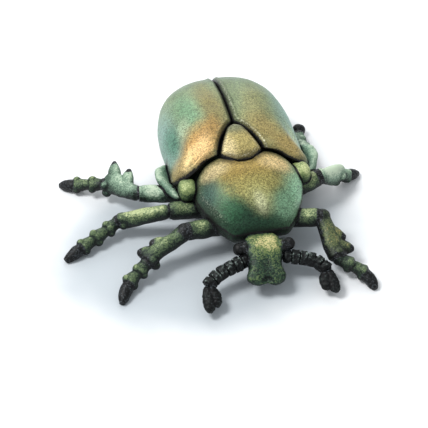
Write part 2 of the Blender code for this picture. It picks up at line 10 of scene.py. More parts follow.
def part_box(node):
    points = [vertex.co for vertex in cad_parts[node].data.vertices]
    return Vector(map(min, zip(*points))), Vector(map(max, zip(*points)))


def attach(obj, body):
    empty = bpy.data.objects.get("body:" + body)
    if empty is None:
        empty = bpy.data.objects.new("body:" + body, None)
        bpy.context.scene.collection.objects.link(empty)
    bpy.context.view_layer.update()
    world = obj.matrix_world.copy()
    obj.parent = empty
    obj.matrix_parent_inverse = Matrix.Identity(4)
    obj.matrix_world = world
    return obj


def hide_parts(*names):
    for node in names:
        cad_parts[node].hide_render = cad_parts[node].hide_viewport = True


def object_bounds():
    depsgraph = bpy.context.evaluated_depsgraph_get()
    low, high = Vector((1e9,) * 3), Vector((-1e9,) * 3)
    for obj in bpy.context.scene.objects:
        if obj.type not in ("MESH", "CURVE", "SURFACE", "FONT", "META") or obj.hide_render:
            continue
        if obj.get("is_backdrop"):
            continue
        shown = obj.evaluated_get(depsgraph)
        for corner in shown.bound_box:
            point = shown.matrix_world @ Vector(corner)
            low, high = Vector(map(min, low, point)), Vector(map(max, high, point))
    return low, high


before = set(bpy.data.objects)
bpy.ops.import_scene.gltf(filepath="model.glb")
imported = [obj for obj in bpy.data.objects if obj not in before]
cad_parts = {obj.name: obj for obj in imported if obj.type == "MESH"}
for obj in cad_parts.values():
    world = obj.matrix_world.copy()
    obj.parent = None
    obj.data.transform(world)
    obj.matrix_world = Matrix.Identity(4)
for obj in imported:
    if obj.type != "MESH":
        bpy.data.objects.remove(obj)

cad_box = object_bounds()

# Body below the wing cases
# One solid moulding in soft plastic: the chest behind the pronotum, the belly in five plates and the
# tail plate. Sizes here are in millimetres, with the head towards -Y and the floor at z = 0.
METRES_PER_MM = 0.001
EYE_LEFT = (6.0, -21.3, 8.0)
eye_low, eye_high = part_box("eye_left")
FIGURE_PLACE = (eye_low + eye_high) / 2 / METRES_PER_MM - Vector(EYE_LEFT)
GAP = 0.3
MARGIN_HEIGHT = 8.5
BACK_CENTRE = 16.0
BACK_END = 41.4
BACK_POWER = 2.5
CASE_THICKNESS = 2.0
BACK_TOPS = (
    (-8, 14.5), (0, 17.6), (5, 19.4), (10, 20.5), (16, 21.0), (22, 20.8), (27, 19.9),
    (31, 18.9), (34.5, 17.1), (37.5, 14.8), (39.6, 12.2), (40.8, 10.0), (BACK_END, 8.7),
)
BACK_HALF_WIDTHS = (
    (-8, 15.6), (0, 17.5), (4, 18.0), (8, 17.8), (13, 17.7), (18, 17.8), (24, 17.4),
    (29, 16.4), (33, 14.9), (36, 13.0), (38.5, 10.4), (40.3, 7.0), (41.1, 3.6), (BACK_END, 1.5),
)
BELLY_START = -6.5
BELLY_END = 37.0
BELLY_WIDTHS = (
    (BELLY_START, 9.0), (-4, 13.4), (0, 15.8), (8, 16.0), (18, 16.8),
    (25, 16.2), (31, 14.4), (35, 11.8), (38, 8.5),
)
BELLY_BOTTOMS = ((BELLY_START, 5.0), (-3, 3.3), (8, 2.9), (20, 3.1), (30, 3.9), (35, 4.9), (38, 6.0))
BELLY_FLATNESS = 0.7
SHOULDER_DROP = 1.1
WAIST = 13.0
STERNITES = 5
STERNITE_GROOVE = 0.4
GROOVE_WIDTH = 0.09
PYGIDIUM_CENTRE = (0, 35.0, 7.3)
PYGIDIUM_RADII = (10.8, 5.2, 3.3)


def through(stations, at):
    """Values on a smooth line through (place, value) stations, with no overshoot."""
    places, values = np.array(stations, float).T
    at = np.clip(at, places[0], places[-1])
    rates = np.diff(values) / np.diff(places)
    slopes = np.concatenate(([rates[0]], np.zeros(len(rates) - 1), [rates[-1]]))
    before, after = rates[:-1], rates[1:]
    steady = before * after > 0
    slopes[1:-1][steady] = (2 * before * after)[steady] / (before + after)[steady]
    i = np.clip(np.searchsorted(places, at, side="right") - 1, 0, len(rates) - 1)
    width = places[i + 1] - places[i]
    t = (at - places[i]) / width
    rise = values[i + 1] - values[i]
    start, end = slopes[i] * width, slopes[i + 1] * width
    return values[i] + t * (start + t * (3 * rise - 2 * start - end + t * (start + end - 2 * rise)))


def ease(value, low, high):
    """A smooth step from 0 at low to 1 at high; high may be the smaller."""
    t = np.clip((value - low) / (high - low), 0, 1)
    return t * t * (3 - 2 * t)


def swell(distance, at, width):
    """1 at one distance, fading to 0 on both sides of it within about twice the width."""
    return np.exp(-(((distance - at) / width) ** 2))


def back_height(x, y):
    """The height of the domed back over the plan."""
    side = np.minimum(np.abs(x) / through(BACK_HALF_WIDTHS, y), 1)
    return MARGIN_HEIGHT + (through(BACK_TOPS, y) - MARGIN_HEIGHT) * np.sqrt(1 - side**BACK_POWER)


def height_inside(x, y, inset):
    """The height of the same dome drawn in all round by an inset."""
    y = BACK_CENTRE + (y - BACK_CENTRE) / (1 - inset / (BACK_END - BACK_CENTRE))
    x = x / (1 - inset / through(BACK_HALF_WIDTHS, y))
    down = 1 - inset / (through(BACK_TOPS, BACK_CENTRE) - MARGIN_HEIGHT)
    return MARGIN_HEIGHT + (back_height(x, y) - MARGIN_HEIGHT) * down


def loft(rings, strip=0):
    """Points and faces through rings of points; one-point rings close the ends, or strip does crosswise."""
    points = np.concatenate([np.atleast_2d(ring) for ring in rings])
    firsts = np.cumsum([0] + [len(np.atleast_2d(ring)) for ring in rings])
    faces = []
    for k in range(len(rings) - 1):
        near, far = firsts[k], firsts[k + 1]
        near_count, far_count = far - near, firsts[k + 2] - far
        for i in range(max(near_count, far_count)):
            j = (i + 1) % max(near_count, far_count)
            corners = (near + i % near_count, near + j % near_count, far + j % far_count, far + i % far_count)
            faces.append([int(c) for c in dict.fromkeys(corners)])
    for first, last in ((0, firsts[1] - 1), (firsts[-2], firsts[-1] - 1)):
        for i in range(strip):
            faces.append([int(c) for c in (first + i, first + i + 1, last - i - 1, last - i)])
    return points, faces


def capped(rings):
    return loft([rings[0].mean(axis=0), *rings, rings[-1].mean(axis=0)])


def globe(sides, bands):
    """Points and faces of a ball of radius 1."""
    turns = np.linspace(0, 2 * pi, sides, endpoint=False)
    rings = [[(0, 0, 1)]]
    for tilt in np.linspace(0, pi, bands)[1:-1]:
        rings.append([(sin(tilt) * cos(turn), sin(tilt) * sin(turn), cos(tilt)) for turn in turns])
    rings.append([(0, 0, -1)])
    return loft(rings)


def facing_out(mesh):
    bm = bmesh.new()
    bm.from_mesh(mesh)
    bmesh.ops.recalc_face_normals(bm, faces=bm.faces)
    bm.to_mesh(mesh)
    bm.free()


def read(items, name, width):
    values = np.empty(len(items) * width, np.float32)
    items.foreach_get(name, values)
    return values.reshape(-1, width).astype(float)


def lumps(points, size, seed):
    """Smooth random heights from about -1 to 1, this many millimetres from lump to lump."""
    shift = Vector((seed * 7.3, seed * 3.1, seed * 5.7))
    return np.array([noise.noise(Vector(point) / size + shift) for point in points])


def uneven_surface(broad, fine, seed):
    """A hand-sculpted surface of broad and finer lumps, each given as (height, size)."""
    def sculpt(points):
        return broad[0] * lumps(points, broad[1], seed) + fine[0] * lumps(points, fine[1], seed + 1)

    return sculpt


def moulding(name, points, faces, sculpt=None):
    """A mesh object in millimetres, faces out, with an uneven hand-sculpted surface."""
    mesh = bpy.data.meshes.new(name)
    mesh.from_pydata([tuple(point) for point in points], [], faces)
    facing_out(mesh)
    if sculpt is not None:
        places = read(mesh.vertices, "co", 3)
        heights = sculpt(places)
        places += read(mesh.vertex_normals, "vector", 3) * heights[:, None]
        mesh.vertices.foreach_set("co", places.astype(np.float32).ravel())
        mesh.update()
    made = bpy.data.objects.new(name, mesh)
    bpy.context.scene.collection.objects.link(made)
    return made


pieces = {}


def fit(made, node, finish, marks):
    """Turns a millimetre moulding into the finished piece of a CAD node."""
    mesh = made.data
    for name, values in marks.items():
        mesh.attributes.new(name, "FLOAT", "POINT").data.foreach_set("value", np.asarray(values, np.float32))
    places = (read(mesh.vertices, "co", 3) + np.array(FIGURE_PLACE)) * METRES_PER_MM
    places[:, 2] = np.maximum(places[:, 2], 0)
    mesh.vertices.foreach_set("co", places.astype(np.float32).ravel())
    mesh.materials.clear()
    mesh.materials.append(finish)
    mesh.shade_smooth()
    mesh.update()
    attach(made, "root")
    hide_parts(node)
    pieces[node] = made


def linear(code):
    """An sRGB hex colour as linear RGBA."""
    parts = [int(code[i : i + 2], 16) / 255 for i in (1, 3, 5)]
    return [part / 12.92 if part <= 0.04045 else ((part + 0.055) / 1.055) ** 2.4 for part in parts] + [1]


def put(paint, kind, inputs=None, **settings):
    """Adds a node to a material, sets it, and fills or links its inputs."""
    made = paint.node_tree.nodes.new(kind)
    for name, value in settings.items():
        setattr(made, name, value)
    for socket, value in (inputs or {}).items():
        if isinstance(value, bpy.types.NodeSocket):
            paint.node_tree.links.new(value, made.inputs[socket])
        else:
            made.inputs[socket].default_value = value
    return made


def new_material(name):
    made = bpy.data.materials.new(name)
    made.use_nodes = True
    made.node_tree.nodes.clear()
    return made


def noisy(paint, spot, scale, detail, roughness):
    inputs = {"Vector": spot, "Scale": scale, "Detail": detail, "Roughness": roughness}
    return put(paint, "ShaderNodeTexNoise", inputs).outputs[0]


def mark(paint, name):
    """One of the values that fit and the black wash store at a piece's points."""
    return put(paint, "ShaderNodeAttribute", attribute_name=name).outputs["Fac"]


def maths(paint, operation, *values):
    """The result of one maths node."""
    return put(paint, "ShaderNodeMath", dict(enumerate(values)), operation=operation).outputs[0]


def graded(paint, value, low, high, least=0.0, most=1.0, kind="SMOOTHSTEP"):
    """A value turned from a range into another, eased at both ends or in a straight line."""
    inputs = {0: value, 1: low, 2: high, 3: least, 4: most}
    return put(paint, "ShaderNodeMapRange", inputs, interpolation_type=kind).outputs[0]


def mixed(paint, share, first, second):
    return put(paint, "ShaderNodeMix", {0: share, 6: first, 7: second}, data_type="RGBA").outputs[2]


# Pigment grains of about 0.25 mm, drawn coarser than the real ones so that they show
GRAINS_PER_METRE = 4000
BLACK_START, BLACK_FULL = 0.34, 0.66


def dry_brushed_paint(name, dark, middle, light, glint, speckle=0.34, shine=0.3):
    """Acrylic brushed over a dark undercoat: light on what stands out, dark in hollows, black in seams, with
    painted light in the brushing mark and painted shade beside other pieces.
    """
    paint = new_material(name)
    spot = put(paint, "ShaderNodeTexCoord").outputs["Object"]
    dry_brush_and_painted_light, seam, black_paint_and_shadow = mark(paint, "dry_brush_and_painted_light"), mark(paint, "seam"), mark(paint, "black_paint_and_shadow")
    grains = put(paint, "ShaderNodeTexVoronoi", {"Vector": spot, "Scale": GRAINS_PER_METRE}, feature="F1")
    grain = put(paint, "ShaderNodeSeparateColor", {"Color": grains.outputs["Color"]}).outputs[0]
    blotches = noisy(paint, spot, scale=900, detail=3, roughness=0.65)
    uneven = maths(paint, "MULTIPLY_ADD", blotches, 0.5, grain)
    uneven = maths(paint, "ADD", uneven, -0.75)
    uneven = maths(paint, "MULTIPLY", uneven, speckle)
    # Painted shade: less light paint beside other pieces
    brushing_less_painted_shade = maths(paint, "MULTIPLY_ADD", mark(paint, "shade"), -0.2, dry_brush_and_painted_light)
    ramp = put(paint, "ShaderNodeValToRGB", {0: maths(paint, "ADD", brushing_less_painted_shade, uneven)})
    ramp.color_ramp.elements[0].position = 0.06
    ramp.color_ramp.elements[0].color = linear(dark)
    ramp.color_ramp.elements[1].position = 1.0
    ramp.color_ramp.elements[1].color = linear(glint)
    for place, code in ((0.38, middle), (0.76, light)):
        ramp.color_ramp.elements.new(place).color = linear(code)
    ragged = maths(paint, "MULTIPLY_ADD", uneven, 2.0, maths(paint, "MAXIMUM", black_paint_and_shadow, seam))
    black = graded(paint, ragged, BLACK_START, BLACK_FULL)
    specks = graded(paint, grain, 0.72, 0.98, kind="LINEAR")
    soot = mixed(paint, specks, linear("#060708"), linear("#43484c"))
    bumps = put(paint, "ShaderNodeBump", {"Strength": 0.35, "Distance": 0.00012, "Height": uneven})
    shader = put(paint, "ShaderNodeBsdfPrincipled", {
        "Base Color": mixed(paint, black, ramp.outputs[0], soot), "Roughness": 0.5, "Metallic": 0.1,
        "Normal": bumps.outputs[0], "Specular IOR Level": shine,
    })
    put(paint, "ShaderNodeOutputMaterial", {0: shader.outputs[0]})
    return paint


belly_paint = dry_brushed_paint("dry_brushed_green_belly_paint", "#0e1610", "#2c3b26", "#6a7a48", "#9aa56c")


def trunk(places, tucks):
    """The body's underside and the back below the wing cases, drawn in by a tuck at each place."""
    rings = []
    turns = np.linspace(0, 2 * pi, 96, endpoint=False)
    for y, tuck in zip(places, tucks):
        wide = through(BELLY_WIDTHS, y) - tuck
        low = through(BELLY_BOTTOMS, y) + tuck
        x = wide * np.cos(turns)
        above = height_inside(x, y, CASE_THICKNESS + 2 * GAP) - SHOULDER_DROP * np.cos(turns) ** 2
        depth = (MARGIN_HEIGHT - SHOULDER_DROP - low) * np.abs(np.sin(turns)) ** BELLY_FLATNESS
        z = np.where(np.sin(turns) >= 0, above, MARGIN_HEIGHT - SHOULDER_DROP - depth)
        rings.append(np.column_stack((x, np.full(len(x), y), z)))
    return capped(rings)


def up_facing(made):
    return read(made.data.vertex_normals, "vector", 3)[:, 2]


rough = uneven_surface((0.10, 2.6), (0.03, 0.8), 1)
places = np.linspace(BELLY_START, WAIST - GAP, 50)
chest = moulding("metathorax_skin", *trunk(places, np.zeros(len(places))), rough)
places = np.linspace(WAIST, BELLY_END, 110)
phase = (places - WAIST) / (BELLY_END - WAIST) * STERNITES
grooves = STERNITE_GROOVE * swell(phase, np.round(phase), GROOVE_WIDTH)
belly = moulding("abdomen_skin", *trunk(places, grooves), rough)
points, faces = globe(sides=72, bands=38)
tail = moulding("pygidium_skin", points * PYGIDIUM_RADII + PYGIDIUM_CENTRE, faces, rough)
for made, node in ((chest, "metathorax"), (belly, "abdomen"), (tail, "pygidium")):
    patches = lumps(read(made.data.vertices, "co", 3), 3.0, 4)
    marks = {"dry_brush_and_painted_light": 0.42 + 0.25 * patches - 0.1 * up_facing(made), "black_paint_and_shadow": patches * 0}
    fit(made, node, belly_paint, marks)

# Pronotum
# The shield behind the head, moulded with a rolled rim. It is sprayed gold behind and dark green in
# front, with a paler patch where the sprays meet and a painted highlight on its front slope, and its seams
# are washed with black.
PRONOTUM_RIM = (
    (0, -18.6), (6.6, -18.15), (9.0, -16.1), (11.1, -12.9), (12.85, -9.0), (13.75, -5.3),
    (13.7, -2.7), (12.05, -0.05), (9.3, 2.1), (6.4, 2.8), (4.3, 2.0), (1.6, 0.0), (0, -0.15),
)
PRONOTUM_PLACE = (0.3, 0.9, 0)
PRONOTUM_TOPS = (
    (-19, 9.6), (-18.3, 10.3), (-16, 12.7), (-14, 14.3), (-11, 15.9), (-7, 17.1), (-3, 17.7), (4, 17.6),
)
PRONOTUM_HALF_WIDTHS = (
    (-19, 8.6), (-15.6, 10.2), (-12.6, 11.8), (-9, 13.6), (-5.2, 14.7), (0, 14.8), (4, 14.3),
)
PRONOTUM_MARGIN = 8.0
PRONOTUM_HUB = (0, -7.5)
PRONOTUM_EDGE = 1.0
BREAST_BOTTOM = 3.5
EDGE_ROLL = 0.8
EDGE_ROLL_WIDTH = 1.4
RIM_BEAD = 0.16
RIM_BEAD_INSET = 1.3
RIM_BEAD_WIDTH = 0.55
WELL_INSIDE = 9.0
FLAKE_SPARKLE = (0.5, 1.45)
FLAKE_ROUGHNESS = (0.34, 0.54)
METALLIC = 0.45


def edge_roll(distance):
    return EDGE_ROLL * np.maximum(0, 1 - distance / EDGE_ROLL_WIDTH) ** 2


def route(points):
    """A function of shares from 0 to 1 that runs smoothly through the points."""
    points = np.array(points, float)
    reach = np.concatenate(([0], np.cumsum(np.linalg.norm(np.diff(points, axis=0), axis=1))))
    tracks = [list(zip(reach / reach[-1], points[:, axis])) for axis in range(points.shape[1])]
    return lambda share: np.stack([through(track, share) for track in tracks], axis=-1)


def mirrored_rim(half, count):
    right = route(half)(np.linspace(0, 1, count))
    return np.concatenate((right, right[-2:0:-1] * (-1, 1)))


def dish(rim, hub, top, bottom, steps):
    """A closed body over a plan rim, and each point's distance from the rim (below counts as none)."""
    rings, distances = [], []
    for height, order, above in ((top, steps, True), (bottom, steps[::-1], False)):
        for step in order:
            spots = np.array(hub) + (rim - hub) * step
            away = np.linalg.norm(rim - spots, axis=1)
            rings.append(np.column_stack((spots, height(spots, rim, away, step))))
            distances.append(away if above else away * 0)
    return *capped(rings), np.concatenate([[WELL_INSIDE], *distances, [0.0]])


def pronotum_height(x, y):
    side = np.minimum(np.abs(x) / through(PRONOTUM_HALF_WIDTHS, y), 1)
    rise = through(PRONOTUM_TOPS, y) - PRONOTUM_MARGIN
    return PRONOTUM_MARGIN + rise * np.sqrt(1 - side**BACK_POWER)


def pronotum_top(spots, rim, away, step):
    bead = RIM_BEAD * swell(away, RIM_BEAD_INSET, RIM_BEAD_WIDTH) * ease(-spots[:, 1], -1.0, 3.0)
    return pronotum_height(spots[:, 0], spots[:, 1]) - edge_roll(away) + bead


def pronotum_bottom(spots, rim, away, step):
    edge = pronotum_height(rim[:, 0], rim[:, 1]) - EDGE_ROLL - PRONOTUM_EDGE
    return edge - (edge - BREAST_BOTTOM) * sqrt(1 - step**BACK_POWER)


def reach_from(paint, spot, where, radii, turn=0):
    """How far out a spot is in a soft round patch of the figure's own place and radii, 1 being its rim."""
    offset = put(paint, "ShaderNodeMapping", {
        "Vector": spot, "Location": [(a + b) * METRES_PER_MM for a, b in zip(where, FIGURE_PLACE)],
        "Rotation": (0, 0, radians(turn)), "Scale": [radius * METRES_PER_MM for radius in radii],
    }, vector_type="TEXTURE")
    return put(paint, "ShaderNodeVectorMath", {0: offset.outputs[0]}, operation="LENGTH").outputs["Value"]


def sprayed_paint(name, base, sprays_and_highlights):
    """
    Airbrushed acrylic with metallic flakes: soft spots of colour over each other, some of them painted
    highlights, black washed into seams, and painted shade beside other pieces.
    Each spray is its place, its radii along X, Y and Z, its turn in degrees, its colour and its strength.
    """
    paint = new_material(name)
    spot = put(paint, "ShaderNodeTexCoord").outputs["Object"]
    drift = noisy(paint, spot, scale=260, detail=3, roughness=0.6)
    mist = noisy(paint, spot, scale=2600, detail=2, roughness=0.6)
    colour = linear(base)
    for where, size, turn, code, strength in sprays_and_highlights:
        reach = maths(paint, "MULTIPLY_ADD", drift, 0.5, reach_from(paint, spot, where, size, turn))
        reach = maths(paint, "MULTIPLY_ADD", mist, 0.5, reach)
        colour = mixed(paint, graded(paint, reach, 2.0, 0.75, 0.0, strength), colour, linear(code))
    # Metallic flakes, real ones 0.05 mm across, drawn as large as the pigment grains so that they show
    flakes = put(paint, "ShaderNodeTexVoronoi", {"Vector": spot, "Scale": GRAINS_PER_METRE}, feature="F1")
    flake = put(paint, "ShaderNodeSeparateColor", {"Color": flakes.outputs["Color"]}).outputs[0]
    sparkle = graded(paint, flake, 0.0, 1.0, *FLAKE_SPARKLE, kind="LINEAR")
    worn = maths(paint, "MULTIPLY", mark(paint, "edge"), flake)
    worn = graded(paint, worn, 0.25, 0.75, 0.0, 0.75, kind="LINEAR")
    colour = mixed(paint, worn, colour, linear("#c9c8b4"))
    # Painted shade: the colour is darker beside other pieces
    painted_shade_dimming = maths(paint, "MULTIPLY_ADD", mark(paint, "shade"), -0.55, 1.0)
    bright = maths(paint, "MULTIPLY", sparkle, painted_shade_dimming)
    lit = put(paint, "ShaderNodeVectorMath", {0: colour, "Scale": bright}, operation="SCALE").outputs[0]
    height = maths(paint, "ADD", mist, flake)
    ragged = maths(paint, "ADD", height, -1.0)
    ragged = maths(paint, "MULTIPLY_ADD", ragged, 0.8, mark(paint, "seam"))
    black = graded(paint, ragged, BLACK_START, BLACK_FULL)
    bare = maths(paint, "SUBTRACT", 1.0, black)
    bumps = put(paint, "ShaderNodeBump", {"Strength": 0.7, "Distance": 0.0001, "Height": height})
    shader = put(paint, "ShaderNodeBsdfPrincipled", {
        "Base Color": mixed(paint, black, lit, linear("#0b0a0a")),
        "Roughness": graded(paint, flake, 0.0, 1.0, *FLAKE_ROUGHNESS, kind="LINEAR"),
        "Metallic": maths(paint, "MULTIPLY", bare, METALLIC),
        "Normal": bumps.outputs[0], "Specular IOR Level": 0.35,
    })
    put(paint, "ShaderNodeOutputMaterial", {0: shader.outputs[0]})
    return paint


pronotum_paint = sprayed_paint("airbrushed_pronotum_paint_with_painted_highlights", "#4c6a4c", (
    ((-2, -16.5, 12), (13, 7.5, 8), 0, "#1d3a29", 0.97),
    ((-13, -10, 11), (5, 8, 7), 0, "#38463c", 0.85),
    ((13, -8, 12), (5.5, 10.5, 7), 0, "#9cc8a4", 0.95),
    ((0, -2.0, 17.6), (11.5, 6.6, 7), 0, "#a08848", 0.95),
    ((1.6, -8.4, 16.4), (6.0, 4.2, 5), 0, "#a89d5c", 0.85),
    ((-10, -5.5, 15), (3.0, 4.0, 4), 0, "#2f4f4a", 0.75),
    ((7.5, -12.6, 13.5), (4.2, 3.6, 4), 10, "#7da382", 0.85),
    # Painted highlight on the front slope: a pale patch and its paler core
    ((1.4, -11.4, 15), (3.4, 4.2, 4), 20, "#b2b57e", 0.55),
    ((1.2, -12.4, 15), (1.5, 2.6, 4), 10, "#e3e4b6", 0.55),
    ((-6.0, -12.5, 13.5), (3.0, 3.0, 4), 0, "#2c5a3c", 0.6),
    ((8, -1.2, 16.5), (4.2, 3.0, 4), -10, "#e6cb92", 0.9),
    ((-8, -0.8, 16.5), (4, 2.6, 4), 10, "#d3c091", 0.75),
))
rim = mirrored_rim(PRONOTUM_RIM, 110)
steps = np.concatenate((np.linspace(0.04, 0.8, 26), np.linspace(0.82, 1, 22)))
points, faces, away = dish(rim, PRONOTUM_HUB, pronotum_top, pronotum_bottom, steps)


def pronotum_wear(points, away):
    """Paint rubbed pale along the rolled rim, most on the two sides."""
    sides = ease(np.abs(points[:, 0]), 5.0, 9.5) * ease(points[:, 1], 1.0, -2.5)
    return (0.2 + 0.2 * sides) * swell(away, 1.2, 0.9)


softly_uneven = uneven_surface((0.10, 4.0), (0.025, 1.1), 6)
shield = moulding("prothorax_skin", points + PRONOTUM_PLACE, faces, softly_uneven)
wash = np.where(away > 0, ease(away, 0.42, 0.05), 0.55)
fit(shield, "prothorax", pronotum_paint, {"rim": wash, "edge": pronotum_wear(points, away)})

# Scutellum
# The small three-sided plate between the wing cases, moulded proud of them and sprayed gold, in a
# groove that holds the black wash.
SCUTELLUM_RIM = (
    (0, 0.75), (1.4, 0.8), (2.7, 1.2), (4.2, 2.2), (5.2, 3.2),
    (4.7, 5.0), (3.9, 6.9), (2.8, 9.1), (1.6, 10.9), (0, 11.7),
)
SCUTELLUM_HUB = (0, 4.6)
SCUTELLUM_THICKNESS = 2.6
SCUTELLUM_RISE = 0.1
SCUTELLUM_DOME = 0.35


def scutellum_top(spots, rim, away, step):
    dome = SCUTELLUM_DOME * (1 - step**2)
    return back_height(spots[:, 0], spots[:, 1]) + SCUTELLUM_RISE + dome - edge_roll(away)


def scutellum_bottom(spots, rim, away, step):
    return back_height(spots[:, 0], spots[:, 1]) - SCUTELLUM_THICKNESS


scutellum_paint = sprayed_paint("airbrushed_scutellum_paint", "#b6a66a", (
    ((0, 10.5, 20), (5, 3.2, 4), 0, "#69725c", 0.8),
    ((-3.2, 4, 19.5), (2.2, 3.6, 4), 0, "#dcca98", 0.85),
    ((1.2, 1.6, 19.5), (2.6, 1.2, 4), 0, "#82774f", 0.7),
))
points, faces, away = dish(
    mirrored_rim(SCUTELLUM_RIM, 60), SCUTELLUM_HUB, scutellum_top, scutellum_bottom, np.linspace(0.05, 1, 36)
)
plate = moulding("scutellum_skin", points, faces, softly_uneven)
marks = {"rim": ease(away, 0.5, 0.05), "edge": 0.6 * swell(away, 0.8, 0.4)}
fit(plate, "scutellum", scutellum_paint, marks)

# Wing cases
# Two domed shells that meet along the back. Each has a raised lip beside the middle groove, a shoulder
# ridge and a hollow outside it, and is sprayed gold inside, green and then blue-green outside, with painted
# highlights along both shoulders and on the front of the right one.
CASE_FRONT = ((6.0, 3.4), (7.3, 3.2), (9.9, 2.6), (12.0, 1.3), (14.4, 0.9), (16.3, 1.3), (17.6, 2.7))
CASE_INNER = (
    (6.0, 3.4), (4.9, 6.4), (3.1, 9.4), (1.2, 11.7), (0.15, 13.0), (0.15, 20), (0.15, 30), (0.15, 41.2),
)
CASE_OUTER_END = (1.5, 41.38)
CASE_OUTER_PLACES = (5, 8, 13, 18, 24, 29, 33, 36, 38.5, 40.3, 41.1)
SHOULDER_RIDGE = ((17.0, 3.6), (15.0, 4.6), (13.2, 7.2), (12.0, 10.6), (10.4, 14.5))
SHOULDER_HOLLOW = ((17.4, 7.0), (15.6, 8.8), (14.2, 11.6), (13.0, 15.0))
SHOULDER_RIDGE_HEIGHT = 0.42
SHOULDER_HOLLOW_DEPTH = 0.6
INNER_LIP = 0.26
FRONT_LIP = 0.20
CORNER_WASH = {1: 0.3, -1: 0.85}
INNER_WEAR = {1: 0.75, -1: 0.3}


def distance_to(line, x, y):
    """How far points of the plan are from a line, and the share of its length where they are nearest."""
    shares = np.linspace(0, 1, 60)
    spots = route(line)(shares)
    gaps = np.hypot(x[..., None] - spots[:, 0], y[..., None] - spots[:, 1])
    return gaps.min(axis=-1), shares[gaps.argmin(axis=-1)]


def case_relief(x, y, inner_edge, front_edge):
    """What stands up from or sinks below the plain dome."""
    lip = INNER_LIP * swell(inner_edge, 1.05, 0.5) * ease(y, 3, 8)
    lip += FRONT_LIP * swell(front_edge, 1.5, 0.6)
    near, share = distance_to(SHOULDER_RIDGE, x, y)
    ridge = SHOULDER_RIDGE_HEIGHT * swell(near, 0, 1.5) * ease(share, 1.0, 0.55)
    near, share = distance_to(SHOULDER_HOLLOW, x, y)
    hollow = SHOULDER_HOLLOW_DEPTH * swell(near, 0, 1.5) * ease(share, 1.0, 0.4)
    return lip + ridge - hollow


def wing_case(side):
    """A shell over the back; side is 1 for the left one. Its rows are closest along its lips."""
    front, inner = route(CASE_FRONT), route(CASE_INNER)
    margin = [(through(BACK_HALF_WIDTHS, y), y) for y in CASE_OUTER_PLACES]
    outer = route([CASE_FRONT[-1], *margin, CASE_OUTER_END])
    u = np.concatenate((np.linspace(0, 0.3, 40), np.sin(np.linspace(0.2, 1, 70) * pi / 2) ** 0.85))
    u = np.unique(np.round(u, 4))
    v = np.concatenate((np.linspace(0, 0.12, 24), np.linspace(0.125, 0.9, 110), np.linspace(0.905, 1, 30)))
    share_across, share_along = np.meshgrid(u, v)
    start, end = front(0.0), front(1.0)
    bend = front(share_across) - start - (end - start) * share_across[..., None]
    bend = bend * (1 - share_along)[..., None]
    plan = inner(share_along) + (outer(share_along) - inner(share_along)) * share_across[..., None] + bend
    x, y = plan[..., 0], plan[..., 1]
    inner_edge = np.linalg.norm(plan - inner(share_along), axis=-1)
    front_edge = np.linalg.norm(plan - front(share_across), axis=-1)
    dome = back_height(x, y)
    top = dome + case_relief(x, y, inner_edge, front_edge) - edge_roll(np.minimum(inner_edge, front_edge))
    across = 1 - CASE_THICKNESS / through(BACK_HALF_WIDTHS, y)
    lengthways = 1 - CASE_THICKNESS / (BACK_END - BACK_CENTRE)
    down = 1 - CASE_THICKNESS / (through(BACK_TOPS, BACK_CENTRE) - MARGIN_HEIGHT)
    over = np.stack((side * x, y, top), axis=-1)
    under = np.stack((
        side * np.maximum(x * across, CASE_INNER[-1][0]),
        BACK_CENTRE + (y - BACK_CENTRE) * lengthways,
        MARGIN_HEIGHT + (dome - MARGIN_HEIGHT) * down,
    ), axis=-1)
    rings = [np.concatenate((above, below[::-1])) for above, below in zip(over, under)]
    points, faces = loft(rings, strip=len(u) - 1)
    front_wash = ease(x, 8.0, 13.5) * CORNER_WASH[side] + 0.25
    groove = np.maximum(ease(inner_edge, 0.48, 0.1), ease(front_edge, front_wash, front_wash * 0.3))
    outer_edge = np.linalg.norm(plan - outer(share_along), axis=-1)
    worn = np.maximum(
        swell(inner_edge, 0.8, 0.35) * INNER_WEAR[side],
        swell(outer_edge, 0.3, 0.4) * ease(y, 16, 8) * 0.8,
    )
    rim = np.concatenate([np.concatenate((row, np.full(len(row), 0.6))) for row in groove])
    edge = np.concatenate([np.concatenate((row, row * 0)) for row in worn])
    return points, faces, {"rim": rim, "edge": edge}


